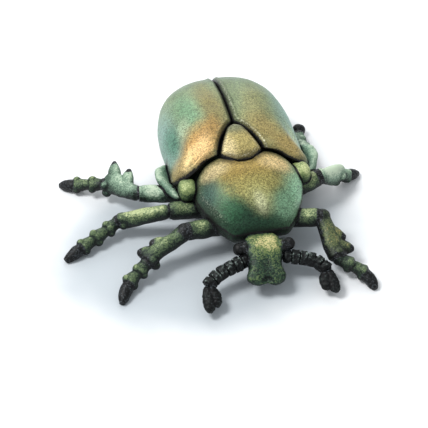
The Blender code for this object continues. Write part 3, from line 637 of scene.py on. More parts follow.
case_paint = sprayed_paint("airbrushed_wing_case_paint_with_painted_highlights", "#879671", (
    ((-17.5, 16, 12), (5.5, 17, 9), 4, "#83a398", 0.95),
    ((17.5, 18, 12), (6.6, 19, 9), -4, "#86aa9c", 0.95),
    ((0, 36, 16), (16, 9, 9), 0, "#738671", 0.85),
    ((-3.8, 17, 20), (3.6, 15, 8), 4, "#807649", 0.9),
    ((6.0, 14, 20), (4.2, 13, 8), -12, "#949060", 0.8),
    ((2.0, 24, 20), (2.4, 9, 8), -4, "#707d5c", 0.8),
    ((-10.2, 19, 18.5), (3.2, 11, 7), 6, "#789d7c", 0.8),
    ((-15.6, 14.0, 15), (2.2, 5.0, 6), 4, "#4f7f68", 0.75),
    # Painted highlight along the shoulder of the right wing case
    ((-12.2, 14.6, 18), (1.8, 4.2, 5), -10, "#bccaa8", 0.5),
    ((-16.0, 3.6, 13), (4.0, 4.2, 6), -20, "#a89562", 0.9),
    ((-9.6, 7.6, 18), (4.6, 7.5, 7), -28, "#bb8d4d", 0.97),
    ((-6.4, 10.5, 19), (2.4, 5.0, 6), -14, "#9f7f48", 0.75),
    # Painted highlight on the front of the right wing case
    ((-9.5, 6.4, 18.4), (2.4, 4.6, 5), -28, "#e6c48c", 0.7),
    ((-13.2, 5.0, 16.5), (1.5, 3.6, 5), -36, "#d9c089", 0.6),
    ((12.5, 4.2, 16.5), (7.5, 4.2, 7), -35, "#b39a5c", 0.9),
    ((7.5, 9.5, 19), (5, 5, 6), -30, "#a8965e", 0.8),
    # Painted highlight along the shoulder of the left wing case
    ((15.4, 9.5, 16), (1.3, 4.6, 5), 8, "#c3cfa6", 0.6),
))
for side, name in ((1, "elytron_left"), (-1, "elytron_right")):
    points, faces, marks = wing_case(side)
    made = moulding(name + "_skin", points, faces, softly_uneven)
    fit(made, name, case_paint, marks)

# Side plates
# Small plates at the shoulders, moulded with the body: a rounded one in front of each wing case,
# brushed pale green, and an ear-shaped one that stands out below it.
MESEPIMERON_PLACE = (14.6, -0.8, 11.5)
MESEPIMERON_RADII = (2.4, 2.8, 2.4)
MESEPIMERON_BOXINESS = 2.7
MESEPIMERON_BRUSHING = {1: 0.62, -1: 0.48}
LOBE_STATIONS = (
    ((17.0, -0.6, 9.0), 0.5), ((17.7, 0.6, 9.0), 1.2), ((18.6, 3.2, 8.8), 1.9),
    ((19.2, 6.4, 8.9), 2.7), ((19.0, 9.4, 8.9), 2.6), ((18.2, 11.4, 8.7), 1.3),
)
LOBE_THICKNESS = 1.35
LOBE_LEAN = (0.72, 0, 0.69)
plate_paint = dry_brushed_paint("dry_brushed_pale_plate_paint", "#101b12", "#3a5034", "#8a9a62", "#c6cc94")
lobe_paint = dry_brushed_paint(
    "dry_brushed_blue_green_lobe_paint", "#16221d", "#3f584b", "#74917a", "#adc0a8"
)


def oval(centre, along, up, half_wide, half_high, sides, power=2.0):
    """A ring of points round a centre, square to a direction; a higher power is boxier."""
    across = np.cross(along, up)
    across = across / np.linalg.norm(across)
    upright = np.cross(across, along)
    upright = upright / np.linalg.norm(upright)
    turns = 2 * pi * (np.arange(sides) + 0.5) / sides
    wide = np.sign(np.cos(turns)) * np.abs(np.cos(turns)) ** (2 / power) * half_wide
    high = np.sign(np.sin(turns)) * np.abs(np.sin(turns)) ** (2 / power) * half_high
    return np.array(centre) + across * wide[:, None] + upright * high[:, None]


def finished(made):
    """The points and faces that its modifiers make of an object, which is then removed."""
    ready = made.evaluated_get(bpy.context.evaluated_depsgraph_get())
    mesh = bpy.data.meshes.new_from_object(ready)
    points = read(mesh.vertices, "co", 3)
    faces = [list(polygon.vertices) for polygon in mesh.polygons]
    bpy.data.objects.remove(made)
    bpy.data.meshes.remove(mesh)
    return points, faces


def fused(name, shapes, sculpt, grain, softness):
    """Overlapping shapes run together into one skin, as in a mould; more softness rounds its corners more."""
    points, faces, count = [], [], 0
    for shape_points, shape_faces in shapes:
        points += [tuple(point) for point in shape_points]
        faces += [[corner + count for corner in face] for face in shape_faces]
        count += len(shape_points)
    rough_cast = moulding(name + "_cast", points, faces)
    remesh = rough_cast.modifiers.new("Fuse", "REMESH")
    remesh.mode = "VOXEL"
    remesh.voxel_size = grain
    smooth = rough_cast.modifiers.new("Soften", "SMOOTH")
    smooth.iterations = softness
    smooth.factor = 0.5
    return moulding(name, *finished(rough_cast), sculpt)


def ball(centre, radii, power=2.0):
    """A ball with these radii; a higher power is boxier."""
    points, faces = globe(sides=24, bands=18)
    points = points / (np.abs(points) ** power).sum(axis=1, keepdims=True) ** (1 / power)
    return points * np.array(radii) + np.array(centre), faces


def hollowness(made, passes):
    """How far each point lies in a hollow (above 0) or on a swelling (below 0), in millimetres, blurred."""
    mesh = made.data
    ends = np.empty(len(mesh.edges) * 2, np.int64)
    mesh.edges.foreach_get("vertices", ends)
    a, b = ends.reshape(-1, 2).T
    places = read(mesh.vertices, "co", 3)
    count = np.bincount(np.concatenate((a, b)), minlength=len(places))

    def around(values):
        total = np.zeros_like(values)
        np.add.at(total, a, values[b])
        np.add.at(total, b, values[a])
        return total / count.reshape(-1, *[1] * (values.ndim - 1))

    middle = places
    for _ in range(passes):
        middle = around(middle)
    return ((middle - places) * read(mesh.vertex_normals, "vector", 3)).sum(axis=1)


def unpainted(made):
    """No black anywhere."""
    return np.zeros(len(made.data.vertices))


BRUSH_BLUR = 24
BRUSH_PATCHES = 0.07
BRUSH_PATCH_SIZE = 2.6
BRUSH_SEED = 11
DARKER_ENDS = 0.12


def brushed_and_lit(made, level, swelling=2.0, top=0.4, ends=None):
    """How much light paint a dry brush leaves, most on swellings and in mid-length, with painted light added:
    more on what faces up, less on what faces down.
    """
    places = read(made.data.vertices, "co", 3)
    # Painted light: lighter on what faces up, darker on what faces down
    left = level - swelling * hollowness(made, BRUSH_BLUR) + top * (up_facing(made) - 0.5)
    left += BRUSH_PATCHES * lumps(places, BRUSH_PATCH_SIZE, BRUSH_SEED)
    if ends is not None:
        start, along = ends[0], ends[1] - ends[0]
        share = (places - start) @ along / (along @ along)
        left += DARKER_ENDS * (1 - 2 * np.clip(np.abs(2 * share - 1), 0, 1.2) ** 2)
    return left


for side, name in ((1, "left"), (-1, "right")):
    centre = np.array(MESEPIMERON_PLACE) * (side, 1, 1)
    cushion = ball(centre, MESEPIMERON_RADII, MESEPIMERON_BOXINESS)
    corner = fused(f"mesepimeron_{name}_skin", [cushion], rough, grain=0.16, softness=2)
    marks = {"dry_brush_and_painted_light": brushed_and_lit(corner, MESEPIMERON_BRUSHING[side]), "black_paint_and_shadow": unpainted(corner)}
    fit(corner, f"mesepimeron_{name}", plate_paint, marks)
    rings = []
    line = route([place for place, _ in LOBE_STATIONS])
    reaches = [(share, reach) for share, (_, reach) in zip(np.linspace(0, 1, 6), LOBE_STATIONS)]
    for share in np.linspace(0, 1, 30):
        x, y, z = line(share)
        reach = through(reaches, share)
        lean = np.array(LOBE_LEAN) * (side, 1, 1)
        rings.append(oval((x * side, y, z), (0, 1, 0), lean, min(reach, LOBE_THICKNESS), reach, 28))
    lobe = fused(f"side_lobe_{name}_skin", [capped(rings)], rough, grain=0.16, softness=6)
    marks = {"dry_brush_and_painted_light": brushed_and_lit(lobe, 0.56), "black_paint_and_shadow": unpainted(lobe)}
    fit(lobe, f"side_lobe_{name}", lobe_paint, marks)

# Head and eyes
# A flat-topped box with a notched front edge, moulded in one with its eye sockets. Its top is yellow-green
# with a painted highlight in gold, mottled dark in the middle, its sides are black towards the neck, and the
# ball-shaped eyes are painted black.
NECK = np.array((0.1, -17.0, 7.7))
HEAD_AXIS = np.array(Vector((-0.1177, -0.9587, -0.2588)).normalized())
HEAD_UP = np.array(Vector((0.03, -0.25, 0.965)).normalized())
HEAD_ACROSS = np.cross(HEAD_AXIS, HEAD_UP)
HEAD_ACROSS = HEAD_ACROSS / np.linalg.norm(HEAD_ACROSS)
HEAD_LENGTH = 13.6
HEAD_WIDTHS = (
    (0, 3.4), (2.0, 4.7), (3.6, 4.9), (6.6, 4.4), (9.0, 4.1),
    (11.2, 4.75), (12.4, 4.5), (13.2, 3.6), (HEAD_LENGTH, 2.4),
)
HEAD_RISES = ((0, 1.8), (2.0, 2.8), (3.6, 3.2), (9.0, 2.3), (12.6, 1.5), (HEAD_LENGTH, 0.7))
HEAD_DROPS = ((0, 1.8), (3.6, 2.6), (9.0, 2.0), (12.6, 1.2), (HEAD_LENGTH, 0.5))
HEAD_BOXINESS = 3.0
NOTCH_START = 11.4
NOTCH_DEPTH = 2.2
NOTCH_HALF_WIDTH = 1.8
SADDLE_DEPTH = 0.35
EYES = {"left": EYE_LEFT, "right": (-6.2, -20.5, 8.0)}
EYE_RADIUS = 1.55
SOCKET_RADIUS = 1.75
SOCKET_DEPTH = 1.5

rings = []
for reach in np.linspace(0, HEAD_LENGTH, 60):
    centre = NECK + HEAD_AXIS * reach
    rise, drop = through(HEAD_RISES, reach), through(HEAD_DROPS, reach)
    middle = centre + HEAD_UP * (rise - drop) / 2
    ring = oval(middle, HEAD_AXIS, HEAD_UP, through(HEAD_WIDTHS, reach), (rise + drop) / 2, 64, HEAD_BOXINESS)
    off_middle = np.abs((ring - middle) @ HEAD_ACROSS)
    notch_share = max(0.0, (reach - NOTCH_START) / (HEAD_LENGTH - NOTCH_START))
    dent = notch_share * NOTCH_DEPTH * np.maximum(0, 1 - off_middle / NOTCH_HALF_WIDTH)
    on_top = (ring - middle) @ HEAD_UP > 0
    saddle = SADDLE_DEPTH * swell(reach, 9.5, 2.6) * swell(off_middle, 0, 1.6) * on_top
    rings.append(ring - HEAD_AXIS * dent[:, None] - HEAD_UP * saddle[:, None])
sockets = []
for side, sign in (("left", -1), ("right", 1)):
    sockets.append(ball(np.array(EYES[side]) + (sign * SOCKET_DEPTH, 0, 0), (SOCKET_RADIUS,) * 3))
knobbly = uneven_surface((0.14, 1.7), (0.05, 0.6), 21)
head_paint = dry_brushed_paint("dry_brushed_head_paint", "#0b1710", "#294331", "#76874f", "#cfc58a", 0.5)
skull = fused("head_skin", [capped(rings), *sockets], knobbly, grain=0.15, softness=4)
places = read(skull.data.vertices, "co", 3)
outward = np.abs(read(skull.data.vertex_normals, "vector", 3) @ HEAD_ACROSS)
reach = (places - NECK) @ HEAD_AXIS
to_left = (places - NECK) @ HEAD_ACROSS
# Painted highlight in gold on the top, towards the neck and to one side, with less light paint towards the
# front
painted_head_highlight = 0.36 * swell(reach, 3.2, 3.2) * swell(to_left, -1.2, 3.2) - 0.2 * ease(reach, 9.0, 12.0)
mottle = 0.26 * swell(reach, 8.8, 2.6)
side_black = ease(outward, 0.62, 0.9) * ease(reach, 8.5, 5.0)
for side in EYES:
    near_eye = np.linalg.norm(places - np.array(EYES[side]), axis=1)
    side_black = np.maximum(side_black, ease(near_eye, 3.0, 2.3))
marks = {"dry_brush_and_painted_light": brushed_and_lit(skull, 0.4, swelling=1.5) + painted_head_highlight - mottle, "black_paint_and_shadow": side_black}
fit(skull, "head", head_paint, marks)

eye_paint = dry_brushed_paint("satin_black_eye_paint", "#040405", "#090a0b", "#131517", "#25282b")
eye_surface = uneven_surface((0.05, 0.55), (0, 1), 25)
for side in EYES:
    eyeball = ball(EYES[side], (EYE_RADIUS,) * 3)
    eye = fused(f"eye_{side}_skin", [eyeball], eye_surface, grain=0.1, softness=1)
    marks = {"dry_brush_and_painted_light": unpainted(eye) + 0.35, "black_paint_and_shadow": unpainted(eye)}
    fit(eye, f"eye_{side}", eye_paint, marks)

# Antennae
# Each is a stalk of six uneven beads and a club of two leaves run together, moulded solid, painted black
# and dry-brushed with green-grey where they stand out, with painted light making their tops lighter.
STALK_RADIUS = 1.72
STALK_CORE = 1.22
STALK_BEADS = 6
BEAD_LENGTH = 1.6
BEAD_UNEVENNESS = 0.07
BEAD_SIDES = 20
BEAD_SEED = 5
STALKS = {
    "left": (
        (4.2, -22.9, 5.8), (7.9, -23.8, 5.3), (11.3, -25.0, 4.8), (13.3, -27.0, 4.3), (14.0, -28.4, 3.8),
    ),
    "right": (
        (-4.4, -22.6, 6.2), (-8.4, -23.8, 5.9), (-11.3, -24.7, 5.4), (-13.9, -26.0, 4.8), (-15.6, -27.5, 4.3),
    ),
}
CLUB_TIPS = {"left": (14.7, -34.3, 2.2), "right": (-16.4, -34.0, 2.3)}
CLUB_LEAVES = ((0.0, 1.0), (1.98, 0.86))
CLUB_RADII = ((0, 0.9), (0.12, 1.35), (0.5, 1.6), (0.85, 1.25), (1, 0.5))
CLUB_FLATNESS = 0.8
CLUB_INWARD = {"left": (-1, 0.1, 0), "right": (1, 0.1, 0)}
antenna_paint = dry_brushed_paint(
    "dry_brushed_black_antenna_paint", "#040405", "#0a0b0c", "#262c2a", "#7d8a84", speckle=0.5, shine=0.2
)
stalk_surface = uneven_surface((0.26, 0.95), (0.06, 0.45), 31)
club_surface = uneven_surface((0.16, 0.8), (0.05, 0.35), 33)


def limb(points, radii, count=40, sides=24, flat=1.0, up=(0, 0, 1)):
    """A rod along a smooth line through points, its radius given at shares of its length."""
    line = route(points)
    rings = []
    for share in np.linspace(0, 1, count):
        along = line(min(share + 0.02, 1)) - line(max(share - 0.02, 0))
        radius = through(radii, share)
        rings.append(oval(line(share), along, up, radius, radius * flat, sides))
    return capped(rings)


def bead_tree():
    """Beads at even steps along a curve, each turned to run along it."""
    tree = bpy.data.node_groups.new("beads_along_a_stalk", "GeometryNodeTree")
    face = tree.interface
    for name, kind in (
        ("Geometry", "Geometry"), ("Bead count", "Int"), ("Bead radius", "Float"), ("Bead length", "Float"),
        ("Unevenness", "Float"), ("Paint", "Material"),
    ):
        face.new_socket(name, in_out="INPUT", socket_type="NodeSocket" + kind)
    face.new_socket("Geometry", in_out="OUTPUT", socket_type="NodeSocketGeometry")
    nodes, links = tree.nodes, tree.links
    given, result = nodes.new("NodeGroupInput"), nodes.new("NodeGroupOutput")
    steps = nodes.new("GeometryNodeResampleCurve")
    links.new(given.outputs["Geometry"], steps.inputs["Curve"])
    links.new(given.outputs["Bead count"], steps.inputs["Count"])
    tangent = nodes.new("GeometryNodeInputTangent")
    turn = nodes.new("FunctionNodeAlignRotationToVector")
    turn.axis = "Z"
    links.new(tangent.outputs[0], turn.inputs["Vector"])
    bead = nodes.new("GeometryNodeMeshCylinder")
    bead.inputs["Vertices"].default_value = BEAD_SIDES
    bead.inputs["Side Segments"].default_value = 3
    bead.inputs["Fill Segments"].default_value = 1
    links.new(given.outputs["Bead radius"], bead.inputs["Radius"])
    links.new(given.outputs["Bead length"], bead.inputs["Depth"])
    sizes = nodes.new("FunctionNodeRandomValue")
    sizes.data_type = "FLOAT"
    sizes.inputs["Seed"].default_value = BEAD_SEED
    for limit, operation in (("Min", "SUBTRACT"), ("Max", "ADD")):
        size = nodes.new("ShaderNodeMath")
        size.operation = operation
        size.inputs[0].default_value = 1
        links.new(given.outputs["Unevenness"], size.inputs[1])
        links.new(size.outputs[0], next(s for s in sizes.inputs if s.name == limit and s.enabled))
    placed = nodes.new("GeometryNodeInstanceOnPoints")
    links.new(steps.outputs["Curve"], placed.inputs["Points"])
    links.new(bead.outputs["Mesh"], placed.inputs["Instance"])
    links.new(turn.outputs["Rotation"], placed.inputs["Rotation"])
    links.new(next(s for s in sizes.outputs if s.enabled), placed.inputs["Scale"])
    real = nodes.new("GeometryNodeRealizeInstances")
    painted = nodes.new("GeometryNodeSetMaterial")
    links.new(placed.outputs["Instances"], real.inputs["Geometry"])
    links.new(real.outputs["Geometry"], painted.inputs["Geometry"])
    links.new(given.outputs["Paint"], painted.inputs["Material"])
    links.new(painted.outputs["Geometry"], result.inputs["Geometry"])
    return tree


def strung_beads(path, tree, settings):
    """The points and faces that a tree makes along a smooth path."""
    curve = bpy.data.curves.new("stalk_path", "CURVE")
    curve.dimensions = "3D"
    spline = curve.splines.new("POLY")
    spline.points.add(len(path) - 1)
    spline.points.foreach_set("co", np.column_stack((path, np.ones(len(path)))).ravel())
    string = bpy.data.objects.new("stalk_path", curve)
    bpy.context.scene.collection.objects.link(string)
    modifier = string.modifiers.new("Beads", "NODES")
    modifier.node_group = tree
    for item in tree.interface.items_tree:
        if item.in_out == "INPUT" and item.name in settings:
            modifier[item.identifier] = settings[item.name]
    beads = finished(string)
    bpy.data.curves.remove(curve)
    return beads


tree = bead_tree()
for side in STALKS:
    line = route(STALKS[side])
    stems = [limb(STALKS[side], ((0, STALK_CORE), (1, STALK_CORE)))]
    half = 0.5 / STALK_BEADS
    stems.append(strung_beads(line(np.linspace(half, 1 - half, 60)), tree, {
        "Bead count": STALK_BEADS, "Bead radius": STALK_RADIUS, "Bead length": BEAD_LENGTH,
        "Unevenness": BEAD_UNEVENNESS, "Paint": antenna_paint,
    }))
    stalk = fused(f"antenna_{side}_stalk_skin", stems, stalk_surface, grain=0.11, softness=5)
    marks = {"dry_brush_and_painted_light": brushed_and_lit(stalk, 0.34, swelling=2.4, top=0.3), "black_paint_and_shadow": unpainted(stalk)}
    fit(stalk, f"antenna_{side}_stalk", antenna_paint, marks)
    start, tip = np.array(STALKS[side][-1]), np.array(CLUB_TIPS[side])
    inward = np.array(CLUB_INWARD[side])
    leaves = []
    for offset, length in CLUB_LEAVES:
        shift = inward * offset
        far = start + (tip - start) * length + shift
        bend = (start + far) / 2 + shift * 0.25
        leaves.append(limb((start, bend, far), CLUB_RADII, count=30, flat=CLUB_FLATNESS))
    club = fused(f"antenna_{side}_club_skin", leaves, club_surface, grain=0.11, softness=2)
    marks = {"dry_brush_and_painted_light": brushed_and_lit(club, 0.26, swelling=3.0, top=0.1), "black_paint_and_shadow": unpainted(club)}
    fit(club, f"antenna_{side}_club", antenna_paint, marks)

# Legs
# Six jointed legs, each moulded solid: thigh, shin with blunt spines, and a foot of lobed segments and a
# thick claw. Dark green, dry-brushed yellow-green, blue-green or bronze, with painted light making their tops
# lighter, black at knees, spines and claws, and a painted shadow in black on the inner side of the front left
# shin.

# A blade is a shin's reach on its outer and inner side; pale is extra light on thigh, shin and foot: lighter
# paint, and on the middle left shin also a painted reflection
LEGS = {
    "front_left": dict(
        root=(5.0, -11.0, 6.4), knee=(16.5, -14.2, 8.0), ankle=(17.8, -25.2, 4.0), blade=(2.3, 2.7),
        claw=(23.6, -29.6, 1.8), tip=(24.7, -33.9, 0.55), segments=2, knee_black=1.9,
        pale=(0.08, -0.12, -0.04), shadow_side=(-2.6, 0.0, -0.6),
        spines=((0.4, (20.9, -20.5, 6.0)), (0.7, (22.2, -23.4, 4.5))),
    ),
    "front_right": dict(
        root=(-5.0, -10.5, 6.4), knee=(-17.7, -11.7, 8.0), ankle=(-28.2, -16.5, 4.2), blade=(2.9, 1.5),
        claw=(-33.8, -20.2, 1.9), tip=(-36.1, -25.0, 0.55), segments=2, knee_black=2.5,
        pale=(-0.04, -0.12, -0.04),
        spines=((0.48, (-26.7, -12.2, 7.0)), (0.76, (-30.1, -13.4, 5.6))),
    ),
    "mid_left": dict(
        root=(7.8, -3.4, 6.0), knee=(19.9, -0.6, 8.8), ankle=(26.6, 3.2, 4.6), blade=(3.1, 2.8),
        claw=(29.4, 5.4, 1.9), tip=(33.2, 6.9, 0.6), segments=1, knee_black=1.6,
        # The middle left shin's pale is partly a painted reflection
        pale=(0.25, 0.52, 0.15), spines=(),
    ),
    "mid_right": dict(
        root=(-7.0, -3.5, 6.0), knee=(-20.0, -3.1, 7.5), ankle=(-32.6, -0.5, 4.0), blade=(2.3, 2.2),
        claw=(-43.1, -5.7, 1.9), tip=(-47.2, -7.8, 0.6), segments=3, knee_black=0.9,
        pale=(0.0, 0.16, 0.0), spines=(),
    ),
    "hind_left": dict(
        root=(8.5, 5.0, 5.6), knee=(19.6, 8.6, 6.4), ankle=(20.2, 17.0, 4.2), blade=(2.2, 2.1),
        claw=(21.0, 23.2, 1.9), tip=(22.6, 27.3, 0.6), segments=2, knee_black=1.5,
        pale=(0.2, 0.2, 0.1), claw_knob=1.8, spines=(),
    ),
    "hind_right": dict(
        root=(-8.5, 2.5, 5.8), knee=(-26.1, 4.9, 7.4), ankle=(-33.4, 14.0, 4.0), blade=(3.6, 2.1),
        claw=(-41.2, 17.8, 1.9), tip=(-44.8, 19.8, 0.6), segments=2, knee_black=0.7,
        pale=(0.22, -0.04, 0.0),
        spines=((0.4, (-27.1, 13.0, 9.0)), (0.72, (-30.2, 18.4, 7.6))),
    ),
}
FEMUR_RADII = ((0, 1.8), (0.12, 2.1), (0.6, 2.35), (0.9, 2.3), (1, 2.0))
TIBIA_KNEE_RADIUS = 2.05
TIBIA_THICKNESS = 1.9
TIBIA_SPREAD = ((0, 0.75), (0.08, 1), (0.3, 1), (0.95, 1), (1, 0.8))
TIBIA_WIDENING = ((0, 0), (0.15, 0), (0.7, 1), (1, 0.8))
SPINE_RADII = ((0, 2.5), (0.55, 1.9), (0.86, 1.1), (1, 0.55))
SPINE_FLATNESS = 0.66
ANKLE_KNOBS = (0.2, 1.9, 3.4, 5.0)
ANKLE_KNOB_RADII = (1.3, 1.3, 1.2)
ANKLE_RADIUS = 1.75
SEGMENT_RADII = ((0, 1.4), (0.4, 1.7), (0.8, 2.0), (1, 1.4))
SEGMENT_FLATNESS = 0.9
CLAW_RADII = ((0, 1.3), (0.3, 1.6), (0.7, 1.35), (0.97, 0.75))
SPINE_BLACK = 1.5
CLAW_BLACK = 2.2
CLAW_KNOB_BLACK = 3.2
SHADOW_BLACK = 2.0
green_leg = dry_brushed_paint("dry_brushed_green_leg_paint", "#090e0b", "#26352a", "#627550", "#b3bd8a", 0.42)
pale_leg = dry_brushed_paint("dry_brushed_pale_leg_paint", "#101a15", "#425849", "#86a088", "#c2d2b8", 0.36)
bronze_leg = dry_brushed_paint(
    "dry_brushed_bronze_leg_paint", "#090c08", "#2a3626", "#66704a", "#c2a364", 0.42
)
LEG_PAINTS = {
    "mid_left": (green_leg, pale_leg, pale_leg),
    "hind_right": (pale_leg, pale_leg, green_leg),
    "hind_left": (green_leg, pale_leg, pale_leg),
    "front_left": (green_leg, bronze_leg, green_leg),
}
knotted = uneven_surface((0.2, 2.4), (0.03, 0.6), 41)


def blackened(made, spots):
    """Black round these places, each (place, radius): black paint, and on the front left shin a painted
    shadow.
    """
    places = read(made.data.vertices, "co", 3)
    black_paint_and_shadow = np.zeros(len(places))
    for place, radius in spots:
        away = np.linalg.norm(places - np.array(place), axis=1)
        black_paint_and_shadow = np.maximum(black_paint_and_shadow, ease(away, radius * 1.15, radius * 0.75))
    return black_paint_and_shadow


def shin_shapes(leg, knee, ankle):
    """A flattened shin that widens towards the foot, with its spines and the knobs of its two joints."""
    along = ankle - knee
    outward = np.array((0.0, 0.0, 1.0))
    if leg["spines"]:
        outward = sum(np.array(tip) - (knee + along * share) for share, tip in leg["spines"])
    outward = outward - along * (outward @ along) / (along @ along)
    outward = outward / np.linalg.norm(outward)
    rings = []
    for share in np.linspace(0, 1, 40):
        widening, size = through(TIBIA_WIDENING, share), through(TIBIA_SPREAD, share)
        outer = (TIBIA_KNEE_RADIUS + (leg["blade"][0] - TIBIA_KNEE_RADIUS) * widening) * size
        inner = (TIBIA_KNEE_RADIUS + (leg["blade"][1] - TIBIA_KNEE_RADIUS) * widening) * size
        centre = knee + along * share + outward * (outer - inner) / 2
        rings.append(oval(centre, along, outward, TIBIA_THICKNESS * size, (outer + inner) / 2, 32))
    # A knee that is painted black is moulded as a knob; the others are only a crease
    knob = TIBIA_KNEE_RADIUS * (1.05 if leg["knee_black"] > 1.2 else 0.7)
    shapes = [capped(rings), ball(knee, (knob,) * 3)]
    for share, tip in leg["spines"]:
        root = knee + along * share
        flat_side = np.cross(along, outward)
        shapes.append(limb((root, np.array(tip)), SPINE_RADII, 20, 16, flat=SPINE_FLATNESS, up=flat_side))
    # Soft knobs round the foot end, as on a cast joint
    across = np.cross(along, outward)
    across = across / np.linalg.norm(across)
    for turn in ANKLE_KNOBS:
        offset = across * cos(turn) * TIBIA_THICKNESS + outward * sin(turn) * leg["blade"][0] * 0.9
        shapes.append(ball(knee + along * 0.9 + offset * 0.6, ANKLE_KNOB_RADII))
    return shapes


def foot_shapes(leg, ankle, claw, tip):
    """Segments that swell towards their far ends, each with three lobes there, and a thick claw."""
    shapes = [ball(ankle, (ANKLE_RADIUS,) * 3)]
    along = claw - ankle
    unit = along / np.linalg.norm(along)
    across = np.cross(unit, (0, 0, 1))
    upright = np.cross(across, unit)
    lobes = (
        (upright * 1.0 + across * 0.6, 1.15),
        (upright * -0.5 + across * 1.15, 1.1),
        (upright * -0.5 - across * 1.2, 1.1),
    )
    count = leg["segments"]
    for i in range(count):
        near, far = ankle + along * (i / count), ankle + along * ((i + 0.98) / count)
        shapes.append(limb((near, (near + far) / 2, far), SEGMENT_RADII, count=20, flat=SEGMENT_FLATNESS))
        for offset, size in lobes:
            shapes.append(ball(near + (far - near) * 0.8 + offset, (size,) * 3))
    shapes.append(limb((claw - unit * 0.5, claw + (tip - claw) * 0.5, tip), CLAW_RADII, count=24))
    if "claw_knob" in leg:
        shapes.append(ball(claw + (tip - claw) * 0.7 + (0, 0, 0.8), (leg["claw_knob"],) * 3))
    return shapes


for name, leg in LEGS.items():
    root, knee, ankle, claw, tip = (np.array(leg[key]) for key in ("root", "knee", "ankle", "claw", "tip"))
    paints = LEG_PAINTS.get(name, (green_leg, green_leg, green_leg))
    thigh_line = (root, (root + knee) / 2 + (0, 0, 0.15), knee)
    shapes = [limb(thigh_line, FEMUR_RADII)]
    thigh = fused(f"{name}_femur_skin", shapes, knotted, grain=0.16, softness=4)
    shapes = shin_shapes(leg, knee, ankle)
    shin = fused(f"{name}_tibia_skin", shapes, knotted, grain=0.15, softness=10)
    shapes = foot_shapes(leg, ankle, claw, tip)
    foot = fused(f"{name}_tarsus_skin", shapes, knotted, grain=0.14, softness=6)
    black = [(knee, leg["knee_black"])]
    thigh_pale, shin_pale, foot_pale = leg["pale"]
    ends = ((root + knee) / 2, knee)
    brush_and_light = brushed_and_lit(thigh, 0.36 + thigh_pale, swelling=1.0, top=0.75, ends=ends)
    marks = {"dry_brush_and_painted_light": brush_and_light, "black_paint_and_shadow": blackened(thigh, black)}
    fit(thigh, f"{name}_femur", paints[0], marks)
    black += [(spine, SPINE_BLACK) for _, spine in leg["spines"]]
    # Painted shadow: the inner side of this shin is painted black
    if "shadow_side" in leg:
        edge = knee + leg["shadow_side"]
        black += [(edge + (ankle - knee) * share, SHADOW_BLACK) for share in (0.15, 0.35, 0.55, 0.75)]
    brush_and_light = brushed_and_lit(shin, 0.34 + shin_pale, swelling=1.2, top=0.7, ends=(knee, ankle))
    marks = {"dry_brush_and_painted_light": brush_and_light, "black_paint_and_shadow": blackened(shin, black)}
    fit(shin, f"{name}_tibia", paints[1], marks)
    black = [(claw + (tip - claw) * share, CLAW_BLACK) for share in (0.15, 0.55, 1.0)]
    if "claw_knob" in leg:
        black += [(claw + (tip - claw) * 0.5 + (0, 0, 1.4), CLAW_KNOB_BLACK)]
    brush_and_light = brushed_and_lit(foot, 0.28 + foot_pale, swelling=1.4, top=0.6)
    marks = {"dry_brush_and_painted_light": brush_and_light, "black_paint_and_shadow": blackened(foot, black)}
    fit(foot, f"{name}_tarsus", paints[2], marks)

# Black wash
# Thin black paint flooded over the finished figure and wiped off, so that it stays in the seams between the
# pieces, in the rolled rims and in the deep creases. Out to about 2 mm from the other pieces the paint is
# also darkened as painted shade.
SEAM_REACH = 0.58
SEAM_FULL = 0.32
SHADE_REACH = 2.2
SHADE_FULL = 0.6

trees, boxes = {}, {}
for node, made in pieces.items():
    mesh = made.data
    trees[node] = BVHTree.FromPolygons([v.co for v in mesh.vertices], [p.vertices for p in mesh.polygons])
    corners = np.array(made.bound_box)
    boxes[node] = (corners.min(axis=0), corners.max(axis=0))
for node, made in pieces.items():
    mesh = made.data
    places = read(mesh.vertices, "co", 3)
    nearest = np.full(len(places), SHADE_REACH * METRES_PER_MM)
    for other, tree in trees.items():
        if other == node:
            continue
        low, high = boxes[other]
        reach = SHADE_REACH * METRES_PER_MM
        inside = ((places > low - reach) & (places < high + reach)).all(axis=1).nonzero()[0]
        for i in inside:
            hit = tree.find_nearest(places[i], nearest[i])
            if hit[3] is not None and hit[3] < nearest[i]:
                nearest[i] = hit[3]
    seam = ease(nearest / METRES_PER_MM, SEAM_REACH, SEAM_FULL)
    if "rim" in mesh.attributes:
        rim_share = np.empty(len(places), np.float32)
        mesh.attributes["rim"].data.foreach_get("value", rim_share)
        seam = np.maximum(seam, rim_share)
    # Painted shade: darker the nearer another piece is, out to SHADE_REACH
    shade = ease(nearest / METRES_PER_MM, SHADE_REACH, SHADE_FULL)
    mesh.attributes.new("shade", "FLOAT", "POINT").data.foreach_set("value", shade.astype(np.float32))
    mesh.attributes.new("seam", "FLOAT", "POINT").data.foreach_set("value", seam.astype(np.float32))

# Floor
# White card, slightly rough, with a painted shadow: a soft grey pool in its colour under the figure that
# fades to plain white around it.
SHADOW_POOL_PLACE = (-13, -10, 0)
SHADOW_POOL_RADII = (46, 33, 46)
FLOOR_REACH_METRES = 1.2
floor_paint = new_material("matt_white_card_with_painted_shadow")
spot = put(floor_paint, "ShaderNodeTexCoord").outputs["Object"]
reach = reach_from(floor_paint, spot, SHADOW_POOL_PLACE, SHADOW_POOL_RADII)
drift = noisy(floor_paint, spot, scale=60, detail=2, roughness=0.5)
reach = maths(floor_paint, "MULTIPLY_ADD", drift, 0.25, reach)
